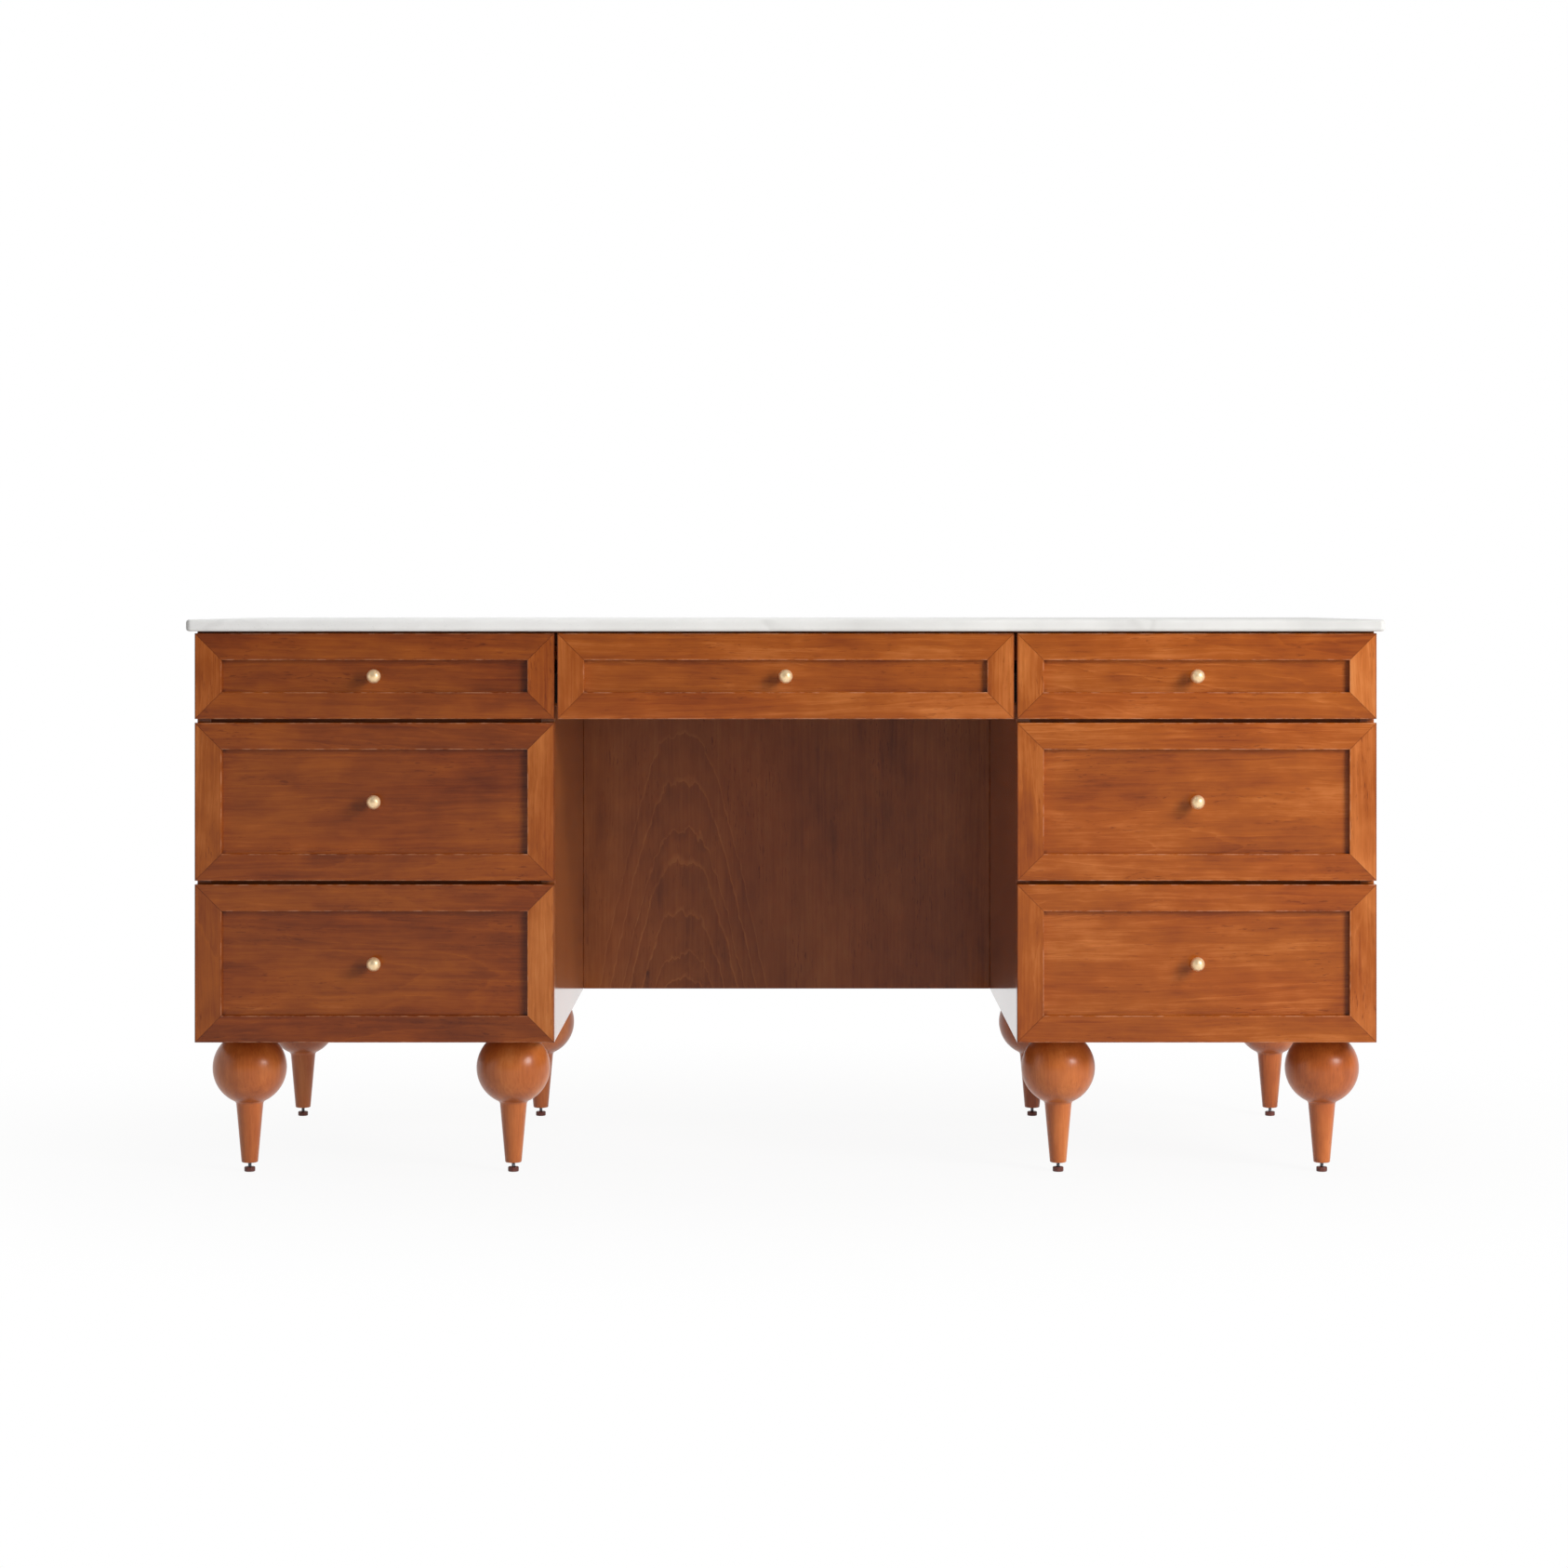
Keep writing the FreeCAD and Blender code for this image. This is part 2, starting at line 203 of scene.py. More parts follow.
def ringed_shape(rings):
    """A skin over rings of points, with a face over each end."""
    count = len(rings[0])
    numbers = [list(range(level * count, (level + 1) * count)) for level in range(len(rings))]
    faces = []
    for lower, upper in zip(numbers, numbers[1:]):
        faces += ring_faces(lower, upper)
    return Shape([p for ring in rings for p in ring], faces + [numbers[0], numbers[-1]])


def prism_shape(outline, start, end, place):
    """An outline run from start to end; place turns across, up and along into a point."""
    return ringed_shape([[place(a, b, c) for a, b in outline] for c in (start, end)])


def around(axis, centre, base=0.0, way=1):
    """Puts turned points round an axis through centre, heights running from base."""
    first, second = (i for i in range(3) if i != axis)

    def place(p):
        point = Vector(centre)
        point[first] += p[0]
        point[second] += p[1]
        point[axis] = base + way * p[2]
        return point
    return place


def lathe_shape(profile, place, sides):
    """A closed profile of (radius, height) turned about an axis."""
    points = []
    rings = []
    for radius, height in profile:
        if radius < on_axis:
            rings.append([len(points)] * sides)
            points.append(place((0.0, 0.0, height)))
            continue
        rings.append(list(range(len(points), len(points) + sides)))
        for step in range(sides):
            angle = 2 * math.pi * step / sides
            points.append(place((radius * math.cos(angle), radius * math.sin(angle), height)))
    faces = []
    for lower, upper in zip(rings, rings[1:] + rings[:1]):
        faces += ring_faces(lower, upper)
    return Shape(points, faces)


def rod_shape(radius, centre, axis, start, end):
    """A round bar along one axis, with centre in the other two."""
    profile = [(0, start), (radius, start), (radius, end), (0, end)]
    return lathe_shape(profile, around(axis, centre), sides=32)


def arc(centre, radius, start, end, steps):
    """Points of an arc, with its angles in degrees."""
    angles = [math.radians(start + (end - start) * step / steps) for step in range(steps + 1)]
    return [(centre[0] + radius * math.cos(a), centre[1] + radius * math.sin(a)) for a in angles]


def dome(radius, base, height):
    """The profile of a domed screw head over its rim."""
    rim = base + height * head_rim_share
    return [(x * radius, rim + y * (base + height - rim)) for x, y in arc((0, 0), 1, 0, 90, steps=6)]


def object_of(name, shape):
    """A bare mesh object in the scene."""
    mesh = bpy.data.meshes.new(name)
    mesh.from_pydata([tuple(p) for p in shape.points], [], shape.faces)
    mesh.update()
    thing = bpy.data.objects.new(name, mesh)
    bpy.context.scene.collection.objects.link(thing)
    return thing


def outward(shape):
    """The same shape with every face turned outwards."""
    mesh = bmesh.new()
    points = [mesh.verts.new(p) for p in shape.points]
    for face in shape.faces:
        mesh.faces.new([points[i] for i in face])
    bmesh.ops.recalc_face_normals(mesh, faces=mesh.faces)
    return shape_of(mesh)


def cut(shape, cutters):
    """A shape with others taken out of it."""
    target = object_of("target", outward(shape))
    tools = [object_of("cutter", outward(cutter)) for cutter in cutters]
    for tool in tools:
        modifier = target.modifiers.new("cut", "BOOLEAN")
        modifier.operation = "DIFFERENCE"
        modifier.solver = "EXACT"
        modifier.object = tool
    bpy.context.view_layer.update()
    done = target.evaluated_get(bpy.context.evaluated_depsgraph_get()).to_mesh()
    result = Shape([v.co.copy() for v in done.vertices], [list(face.vertices) for face in done.polygons])
    for thing in [target] + tools:
        bpy.data.objects.remove(thing)
    return result


# Parts: shapes with the coordinates of their wood

def wooden(shape, lo, hi, along, tone=1.0, wear=1.0, grime_and_shade=0.0, pith=None, lean_most=0.02, start=None):
    """Grain runs along one axis, round a pith; place and reach give the way to the edges."""
    sizes = [hi[i] - lo[i] for i in range(3)]
    others = sorted((i for i in range(3) if i != along), key=lambda i: -sizes[i])
    axes = [along] + others
    middle = [(lo[i] + hi[i]) / 2 for i in range(3)]
    lean = chance.uniform(-lean_most, lean_most)
    if start is None:
        start = chance.uniform(0, 30)
    if pith is None:
        pith = (chance.gauss(0, 0.07), chance.uniform(0.04, 0.16))
    grain = []
    place = []
    for p in shape.points:
        u, v, w = (p[i] - middle[i] for i in axes)
        place.append((u, v, w))
        grain.append((u + v * lean + start, v - u * lean + pith[0], w + pith[1]))
    reach = [tuple(sizes[i] / 2 for i in axes)] * len(place)
    # Each point's finish holds tone, which carries painted light on the fronts, inner panels, rails and
    # sub-top; wear, whose pale arrises are partly painted highlight and whose values below 0 paint shade on
    # outer edges; and grime, partly painted shade near corners
    finish = [(tone, wear, grime_and_shade)] * len(place)
    return Part(shape.points, shape.faces, grain, place, reach, finish)


def plain(shape):
    """A part of stone, metal or plastic, whose points serve as its grain."""
    grain = [tuple(p) for p in shape.points]
    still = [(0.0, 0.0, 0.0)] * len(grain)
    return Part(shape.points, shape.faces, grain, still, still, still)


def piece(name, parts, material, body, replaced, sharp_angle=35):
    """One object of closed parts that rides on a body and stands for a node."""
    points = []
    faces = []
    fields = {field: [] for field in Part._fields[2:]}
    for part in parts:
        faces += [[len(points) + i for i in face] for face in part.faces]
        points += part.points
        for field, values in fields.items():
            values += getattr(part, field)
    thing = object_of(name, outward(Shape(points, faces)))
    for field, values in fields.items():
        layer = thing.data.attributes.new(field, "FLOAT_VECTOR", "POINT")
        layer.data.foreach_set("vector", [number for value in values for number in value])
    thing.data.polygons.foreach_set("use_smooth", [True] * len(thing.data.polygons))
    thing.data.set_sharp_from_angle(angle=math.radians(sharp_angle))
    weighted = thing.modifiers.new("even shading", "WEIGHTED_NORMAL")
    weighted.keep_sharp = True
    thing.data.materials.append(material)
    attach(thing, body)
    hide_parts(*replaced)


# Materials

def tint(red, green, blue):
    """A screen's colour, 0 to 255, for a shader."""
    parts = [c / 255 for c in (red, green, blue)]
    return tuple(c / 12.92 if c < 0.04045 else ((c + 0.055) / 1.055) ** 2.4 for c in parts) + (1.0,)


class Nodes:
    """The nodes of a material or a world."""

    def __init__(self, holder, shader):
        holder.use_nodes = True
        self.holder = holder
        self.tree = holder.node_tree
        self.shader = self.tree.nodes[shader]

    def feed(self, socket, value):
        """Link an output to a socket, or set its value."""
        if isinstance(value, bpy.types.NodeSocket):
            self.tree.links.new(value, socket)
        else:
            socket.default_value = value

    def add(self, kind, output, inputs, **settings):
        """A node's output, with its inputs by name or number."""
        node = self.tree.nodes.new("ShaderNode" + kind)
        for key, value in settings.items():
            setattr(node, key, value)
        for key, value in inputs.items():
            self.feed(node.inputs[key], value)
        return node.outputs[output]

    def set(self, **inputs):
        """Inputs of the main shader."""
        for key, value in inputs.items():
            self.feed(self.shader.inputs[key.replace("_", " ")], value)

    def field(self, name):
        return self.add("Attribute", "Vector", {}, attribute_name=name)

    def split(self, vector):
        node = self.tree.nodes.new("ShaderNodeSeparateXYZ")
        self.feed(node.inputs[0], vector)
        return node.outputs[:]

    def join(self, x, y, z):
        return self.add("CombineXYZ", 0, {0: x, 1: y, 2: z})

    def math(self, operation, *values):
        return self.add("Math", 0, dict(enumerate(values)), operation=operation)

    def times(self, product, *others):
        for value in others:
            product = self.math("MULTIPLY", product, value)
        return product

    def vector(self, operation, *values, output=0):
        return self.add("VectorMath", output, dict(enumerate(values)), operation=operation)

    def moved(self, vector, noise, size):
        """A vector moved by a noise's colours."""
        way = self.vector("SUBTRACT", noise, (0.5, 0.5, 0.5))
        return self.vector("ADD", vector, self.vector("MULTIPLY", way, size))

    def noise(self, vector, waves, detail=2.0, rough=0.5, output="Fac"):
        """Cloudy noise, with its waves per metre along each axis."""
        scaled = self.vector("MULTIPLY", vector, waves)
        inputs = {"Vector": scaled, "Scale": 1.0, "Detail": detail, "Roughness": rough}
        return self.add("TexNoise", output, inputs)

    def line_noise(self, value, detail):
        inputs = {"W": value, "Scale": 1.0, "Detail": detail}
        return self.add("TexNoise", "Fac", inputs, noise_dimensions="1D")

    def band(self, value, low, high, start=0.0, end=1.0, kind="SMOOTHSTEP"):
        """A value's way from low to high, as start to end."""
        inputs = {"Value": value, "From Min": low, "From Max": high, "To Min": start, "To Max": end}
        return self.add("MapRange", 0, inputs, interpolation_type=kind)

    def fade(self, value, low, high, end=0.0):
        """1 up to low, then down to end at high."""
        return self.band(value, low, high, 1.0, end)

    def patches(self, vector, waves, low, high, start=0.0, detail=2.0):
        """Noise as patches: start where it is under low, 1 where it is over high."""
        return self.band(self.noise(vector, waves, detail), low, high, start)

    def blend(self, share, first, second, mode="MIX"):
        return self.add("Mix", 2, {0: share, 6: first, 7: second}, data_type="RGBA", blend_type=mode)

    def stain(self, colour, where, share, stain):
        """A colour with a stain in it, by a share."""
        return self.blend(self.times(where, share), colour, stain, "MULTIPLY")

    def ramp(self, value, *stops):
        """Colours along a value: each stop is a place, red, green and blue."""
        node = self.tree.nodes.new("ShaderNodeValToRGB")
        self.feed(node.inputs[0], value)
        while len(node.color_ramp.elements) < len(stops):
            node.color_ramp.elements.new(0.5)
        for element, (place, *colour) in zip(node.color_ramp.elements, stops):
            element.position = place
            element.color = tint(*colour)
        return node.outputs[0]

    def bump(self, height, strength, distance):
        self.set(Normal=self.add("Bump", 0, {"Height": height, "Strength": strength, "Distance": distance}))

    def roughness(self, value, least, most):
        """Gloss that changes a little over the surface."""
        self.set(Roughness=self.band(value, 0.3, 0.7, least, most, "LINEAR"))


def material_nodes(name):
    return Nodes(bpy.data.materials.new(name), "Principled BSDF")


# Wood: what a material leaves out is as here

plain_wood = dict(ring=0.0085, ring_share=0.08, ring_least=0.15, taper=0.05, wander=0.03, shake_share=0.2,
                  rim=0.0, blunt=2.0, jag=0.0, streak_share=0.3, blotch_share=0.56, line_share=0.6,
                  fleck_share=0.6, rubbed=(222, 160, 122), rough=(0.42, 0.56), coat=1.0, gloss=1.3,
                  coat_rough=0.15)
noise_gain = 1.5
tone_gain = 0.6
band_part, mottle_part, fibre_part = 0.6, 0.5, 0.5
ring_drift, ring_unevenness = 0.45, 1.6
ring_dark_share = 0.4
# Share of the pale arrises, which are partly worn and partly painted highlight; each look's rubbed colour is
# the same mix
rub_and_highlight_share = 0.42


def waved_grain(nodes, grain, look):
    """Grain that wanders, as a real log's pith does."""
    bend = nodes.noise(grain, waves=(1.6, 9.0, 9.0), output="Color")
    shake = nodes.noise(grain, waves=(14.0, 60.0, 60.0), output="Color")
    size = look.wander * look.shake_share
    return nodes.moved(nodes.moved(grain, bend, (0.0, look.wander, look.wander)), shake, (0.0, size, size))


def growth_rings(nodes, grain, look):
    """Rings round the pith, darker to each one's end, then a pale line; faint past the rim."""
    u, v, w = nodes.split(grain)
    powers = [nodes.math("POWER", nodes.math("ABSOLUTE", side), look.blunt) for side in (v, w)]
    radius = nodes.math("POWER", nodes.math("ADD", *powers), 1 / look.blunt)
    reach = nodes.math("MULTIPLY_ADD", u, look.taper, radius)
    if look.jag:
        tear = nodes.math("SUBTRACT", nodes.noise(grain, waves=(34.0, 70.0, 70.0)), 0.5)
        reach = nodes.math("MULTIPLY_ADD", tear, look.jag, reach)
    count = nodes.math("DIVIDE", reach, look.ring)
    uneven = nodes.line_noise(nodes.times(count, ring_drift), detail=1.0)
    phase = nodes.math("FRACT", nodes.math("MULTIPLY_ADD", uneven, ring_unevenness, count))
    dark = nodes.times(nodes.band(phase, low=0.35, high=0.93), nodes.fade(phase, low=0.94, high=1.0))
    rings = nodes.math("SUBTRACT", nodes.fade(phase, low=0.0, high=0.16), nodes.times(dark, ring_dark_share))
    if look.rim:
        rings = nodes.times(rings, nodes.fade(reach, look.rim, look.rim + look.ring, end=0.1))
    return rings


def stained(nodes, grain, waved, fibres, tone, shades, look):
    """The wood's colour: rings, streaks, blotches, redder clouds and dark lines."""
    clear = nodes.patches(grain, waves=(3.0, 20.0, 20.0), low=0.34, high=0.62, start=look.ring_least)
    rings = nodes.times(growth_rings(nodes, waved, look), clear)
    streaks = nodes.noise(waved, waves=(5.0, 240.0, 240.0), detail=3.0, rough=0.6)
    bands = nodes.noise(waved, waves=(2.5, 55.0, 55.0))
    blotches = nodes.noise(grain, waves=(4.0, 12.0, 12.0), detail=3.0, rough=0.55)
    mottle = nodes.noise(grain, waves=(20.0, 42.0, 42.0), detail=3.0, rough=0.55)
    shade = nodes.math("MULTIPLY_ADD", rings, look.ring_share, 0.5)
    for source, share in ((streaks, look.streak_share), (bands, look.streak_share * band_part),
                          (blotches, look.blotch_share), (mottle, look.blotch_share * mottle_part),
                          (fibres, look.streak_share * fibre_part)):
        swing = nodes.math("SUBTRACT", source, 0.5)
        shade = nodes.math("MULTIPLY_ADD", swing, share * noise_gain, shade)
    shade = nodes.math("MULTIPLY_ADD", nodes.math("SUBTRACT", tone, 1.0), tone_gain, shade)
    colour = nodes.ramp(shade, *shades)
    redder = nodes.patches(grain, waves=(3.5, 9.0, 9.0), low=0.35, high=0.7)
    colour = nodes.stain(colour, redder, share=0.5, stain=(0.92, 0.74, 0.62, 1.0))
    lines = nodes.times(nodes.patches(waved, waves=(3.0, 150.0, 150.0), low=0.58, high=0.74),
                        nodes.fade(blotches, low=0.38, high=0.58, end=0.1))
    return nodes.stain(colour, lines, look.line_share, stain=(0.62, 0.44, 0.42, 1.0))


def flecks_of(nodes, grain, waved):
    """Short dark pores in patches, and a rare knot."""
    pores = nodes.patches(waved, waves=(60.0, 420.0, 420.0), low=0.61, high=0.69)
    some = nodes.patches(grain, waves=(7.0, 30.0, 30.0), low=0.42, high=0.66)
    knots = nodes.patches(waved, waves=(16.0, 60.0, 60.0), low=0.76, high=0.84, detail=1.0)
    return nodes.math("MAXIMUM", nodes.times(pores, some), knots)


def wear_and_painted_light(nodes, grain, colour, wear, grime_and_shade, look):
    """Arrises made pale, partly as worn edges and partly as painted highlight; painted shade along the outer
    edge instead where that value is below 0; soiling and painted shade near corners and the panel's frame; a
    dark line at mitres.
    """
    place = nodes.field("place")
    _, across, _ = nodes.split(place)
    x, y, z = nodes.split(nodes.vector("SUBTRACT", nodes.field("reach"), nodes.vector("ABSOLUTE", place)))
    most = nodes.math("MINIMUM", nodes.math("MAXIMUM", x, y), z)
    nearest = nodes.math("MAXIMUM", nodes.math("MINIMUM", x, y), most)
    side = nodes.math("MAXIMUM", y, z)
    chips = nodes.noise(grain, waves=(55.0, 90.0, 90.0), detail=3.0, rough=0.6)
    outer = nodes.times(nodes.math("LESS_THAN", across, 0.0), nodes.math("LESS_THAN", wear, 0.0))
    wear = nodes.math("ABSOLUTE", wear)
    # Painted shade: a dark line along the outer arrises of parts whose arris value is below 0 (the stiles),
    # next to the dark gaps
    edge = nodes.times(nodes.band(side, low=0.0003, high=0.0024, start=0.8, end=0.0), outer)
    colour = nodes.blend(edge, colour, (0.38, 0.26, 0.32, 1.0), "MULTIPLY")
    # Pale arrises: partly worn, partly painted highlight where the lamps would catch the rounded edges
    rub_and_highlight = nodes.times(nodes.fade(side, low=0.0003, high=0.0021), nodes.band(chips, low=0.40, high=0.66),
                      wear, nodes.math("SUBTRACT", 1.0, outer), rub_and_highlight_share)
    colour = nodes.blend(rub_and_highlight, colour, tint(*look.rubbed))
    # Darker near corners and where the panel meets its frame: partly dirt, partly painted shade of the recess
    dirt_and_shade = nodes.times(nodes.fade(nearest, low=0.0, high=0.0070),
                       nodes.band(chips, low=0.1, high=0.75, start=0.55), grime_and_shade)
    colour = nodes.stain(colour, dirt_and_shade, share=0.65, stain=(0.30, 0.22, 0.24, 1.0))
    joint = nodes.times(nodes.fade(x, low=0.0002, high=0.0010), wear)
    return nodes.stain(colour, joint, share=0.5, stain=(0.38, 0.28, 0.26, 1.0))


def wood(name, shades, **changes):
    """Stained and lacquered timber, with what differs from plain wood."""
    look = SimpleNamespace(**{**plain_wood, **changes})
    nodes = material_nodes(name)
    grain = nodes.field("grain")
    tone, wear, grime_and_shade = nodes.split(nodes.field("finish"))
    waved = waved_grain(nodes, grain, look)
    fibres = nodes.noise(waved, waves=(22.0, 900.0, 900.0), detail=3.0, rough=0.6)
    flecks = flecks_of(nodes, grain, waved)
    colour = stained(nodes, grain, waved, fibres, tone, shades, look)
    colour = nodes.stain(colour, flecks, look.fleck_share, stain=(0.40, 0.30, 0.28, 1.0))
    nodes.set(Base_Color=wear_and_painted_light(nodes, grain, colour, wear, grime_and_shade, look), Specular_IOR_Level=0.05)
    nodes.set(Coat_Weight=look.coat, Coat_IOR=look.gloss, Coat_Roughness=look.coat_rough)
    nodes.roughness(nodes.noise(grain, waves=(9.0, 26.0, 26.0), detail=3.0), *look.rough)
    relief = nodes.math("MULTIPLY_ADD", fibres, 0.5, nodes.times(flecks, -1.0))
    nodes.bump(relief, strength=0.12, distance=0.0001)
    return nodes.holder


# Stone, metal and plastic

vein_slant = 0.55
vein_share = 0.34
# Painted shade: the slab grows darker to the right, against the key lamp's stronger light there
stone_deepening = -0.48  # per metre to the right
spin_lines = 5200.0  # per metre


def stone():
    """Pale polished stone with thin grey veins and clouds, darker to the right as painted shade against the
    key lamp's stronger light there.
    """
    nodes = material_nodes("pale_stone")
    grain = nodes.field("grain")
    warp = nodes.noise(grain, waves=(2.6, 2.6, 2.6), detail=4.0, rough=0.55, output="Color")
    x, y, z = nodes.split(nodes.moved(grain, warp, size=(0.55, 0.55, 0.55)))
    run = nodes.math("MULTIPLY_ADD", y, vein_slant, x)
    vein = nodes.math("SUBTRACT", nodes.noise(nodes.join(run, y, z), waves=(2.1, 0.8, 2.0), detail=4.0), 0.5)
    veins = nodes.times(nodes.fade(nodes.math("ABSOLUTE", vein), low=0.0, high=0.018),
                        nodes.patches(grain, waves=(3.0, 4.0, 3.0), low=0.42, high=0.66), vein_share)
    cloud = nodes.noise(grain, waves=(4.0, 5.0, 4.0), detail=4.0, rough=0.6)
    across, _, _ = nodes.split(grain)
    # Darker to the right as painted shade, over the clouds
    colour = nodes.ramp(nodes.math("MULTIPLY_ADD", across, stone_deepening, cloud),
                        (0.1, 206, 205, 202), (0.5, 235, 234, 231), (0.9, 250, 249, 247))
    colour = nodes.blend(veins, colour, tint(188, 186, 182))
    speck = nodes.noise(grain, waves=(420.0, 420.0, 420.0))
    colour = nodes.blend(nodes.band(speck, low=0.62, high=0.75, end=0.18), colour, tint(205, 203, 200))
    nodes.set(Base_Color=colour, Specular_IOR_Level=0.25)
    nodes.roughness(cloud, least=0.44, most=0.54)
    nodes.bump(speck, strength=0.05, distance=0.0001)
    return nodes.holder


def brass():
    """Satin brass, spun round the knob's axis."""
    nodes = material_nodes("spun_brass")
    x, y, z = nodes.split(nodes.field("place"))
    away = nodes.math("ADD", nodes.vector("LENGTH", nodes.join(x, 0.0, z), output="Value"), y)
    turns = nodes.line_noise(nodes.times(away, spin_lines), detail=3.0)
    cloud = nodes.noise(nodes.field("grain"), waves=(210.0, 210.0, 210.0), detail=3.0)
    colour = nodes.ramp(cloud, (0.3, 250, 210, 158), (0.7, 255, 228, 186))
    nodes.set(Base_Color=colour, Metallic=0.55, Anisotropic=0.3)
    nodes.roughness(turns, least=0.36, most=0.48)
    nodes.set(Tangent=nodes.add("Tangent", 0, {}, direction_type="RADIAL", axis="Y"))
    nodes.bump(turns, strength=0.12, distance=0.00003)
    return nodes.holder


def steel(name, painted_dark_ends=False):
    """Zinc-plated steel, drawn along Y; faces across Y may be made dark, as painted shade for the slide ends
    seen in the gaps.
    """
    nodes = material_nodes(name)
    grain = nodes.add("TexCoord", "Object", {})
    lines = nodes.noise(grain, waves=(900.0, 12.0, 900.0), detail=3.0)
    cloud = nodes.noise(grain, waves=(60.0, 25.0, 60.0), detail=3.0)
    colour = nodes.ramp(cloud, (0.3, 150, 155, 160), (0.7, 176, 180, 184))
    if painted_dark_ends:
        _, along, _ = nodes.split(nodes.add("NewGeometry", "Normal", {}))
        # Painted shade: faces across Y, the slides' ends seen in the gaps, are made dark
        ends = nodes.band(nodes.math("ABSOLUTE", along), low=0.8, high=0.98)
        colour = nodes.blend(ends, colour, tint(44, 36, 32))
    nodes.set(Base_Color=colour, Metallic=1.0)
    nodes.roughness(lines, least=0.26, most=0.40)
    nodes.bump(lines, strength=0.08, distance=0.00004)
    return nodes.holder


def nylon():
    """Brown moulded nylon, dusty where it rubs the floor."""
    nodes = material_nodes("brown_nylon")
    grain = nodes.field("grain")
    cloud = nodes.noise(grain, waves=(300.0, 300.0, 300.0), detail=3.0)
    _, _, height = nodes.split(grain)
    dust = nodes.times(nodes.fade(height, low=0.0, high=0.0016), nodes.band(cloud, low=0.3, high=0.7), 0.4)
    colour = nodes.ramp(cloud, (0.3, 92, 48, 40), (0.7, 116, 64, 54))
    nodes.set(Base_Color=nodes.blend(dust, colour, tint(150, 120, 108)), Specular_IOR_Level=0.4)
    nodes.roughness(cloud, least=0.38, most=0.52)
    nodes.bump(cloud, strength=0.1, distance=0.0001)
    return nodes.holder


front_shades = ((0.0, 88, 34, 12), (0.35, 134, 63, 19), (0.6, 160, 82, 24), (0.85, 189, 109, 50),
                (1.0, 202, 126, 68))
case_shades = (0.12, 118, 59, 26), (0.42, 158, 88, 40), (0.62, 173, 101, 48), (0.92, 193, 121, 64)
leg_shades = (0.12, 142, 66, 24), (0.42, 180, 95, 40), (0.62, 198, 111, 52), (0.92, 218, 138, 76)
birch_shades = (0.12, 186, 146, 104), (0.42, 210, 176, 132), (0.62, 220, 188, 146), (0.92, 230, 204, 166)
veneer = dict(ring=0.0048, ring_share=0.12, streak_share=0.14, blotch_share=0.46, taper=0.09, wander=0.008,
              gloss=1.35, coat_rough=0.1, line_share=0.3, fleck_share=0.15)

# The arches in the kneehole's back: its veneer was cut across the rings of a tapering log
arch_place = 0.16  # left of the middle, where the cut came nearest the pith
arch_depth = 0.06  # from the veneer's face to the pith
arch_top = 0.062  # over the veneer's middle
arch_start = -0.024
arch_taper = 0.2
arch_rim = arch_depth + arch_taper * (arch_top + arch_start)

front_wood = wood("front_cherry", front_shades)
case_wood = wood("case_veneer", case_shades, **veneer)
side_wood = wood("side_veneer", front_shades, **veneer)
back_wood = wood("back_veneer", case_shades, ring=0.0135, ring_share=0.3, ring_least=0.6, streak_share=0.26,
                 taper=arch_taper, wander=0.012, shake_share=0.3, rim=arch_rim, blunt=3.0, jag=0.008,
                 line_share=0.3)
leg_wood = wood("leg_cherry", leg_shades, ring=0.007, ring_share=0.06, streak_share=0.26, blotch_share=0.66,
                rough=(0.5, 0.6), coat=0.85, gloss=1.5, coat_rough=0.3, line_share=0.35, fleck_share=0.3)
frame_wood = wood("frame_hardwood", case_shades, ring=0.006, rough=(0.5, 0.64), coat=0.3)
birch = wood("clear_birch", birch_shades, ring=0.006, rubbed=(232, 210, 178), rough=(0.46, 0.6), coat=0.4)
pale_stone = stone()
spun_brass = brass()
zinc = steel("zinc_plate")
slide_zinc = steel("slide_plate", painted_dark_ends=True)
brown_nylon = nylon()


# The stone top

def slab_shape(lo, hi):
    """The slab: round corners seen from above, and eased edges."""
    rings = []
    heights = arc((0, lo.z + slab_edge_round), slab_edge_round, -90, 0, steps=6)
    heights += arc((0, hi.z - slab_edge_round), slab_edge_round, 0, 90, steps=6)
    for bulge, height in heights:
        radius = slab_corner_round - (slab_edge_round - bulge)
        ring = []
        for turn, x, y in ((0, hi.x, hi.y), (90, lo.x, hi.y), (180, lo.x, lo.y), (270, hi.x, lo.y)):
            centre = (x - math.copysign(slab_corner_round, x), y - math.copysign(slab_corner_round, y))
            ring += [Vector((*p, height)) for p in arc(centre, radius, turn, turn + 90, steps=8)]
        rings.append(ring)
    return ringed_shape(rings)


piece("stone_slab", [plain(slab_shape(*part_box("stone_top")))], pale_stone, "carcass", ["stone_top"])


# The carcass

def board(name, node, along, material, slot="case_wood", **look):
    """A whole node as one board with rounded arrises."""
    lo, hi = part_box(node)
    piece(name, [wooden(box_shape(lo, hi), lo, hi, along, **look)], material, "carcass", [node])


# The sub-top is darkened (tone 0.55) as painted shade: its front edge shows only in the dark gap under the
# slab
board("sub_top_board", "sub_top", 0, frame_wood, "frame_wood", tone=0.55, wear=0.0)
board("kneehole_back", "modesty_panel", 2, back_wood, wear=0.4,
      pith=(arch_place, arch_depth), lean_most=0.0, start=arch_start, tone=1.06)
# The inner panels' tones are painted light and shade: the left one lighter where the lamps reach it, the
# right one darker as it stands in shade
for side, inner_tone in (("left", 1.04), ("right", 0.74)):
    board(f"{side}_outer_panel", f"{side}_outer_side", 2, side_wood, tone=1.1, wear=0.7)
    board(f"{side}_inner_panel", f"{side}_inner_side", 2, case_wood, tone=inner_tone, wear=0.7)
    board(f"{side}_back_board", f"{side}_back_panel", 2, case_wood, wear=0.4)


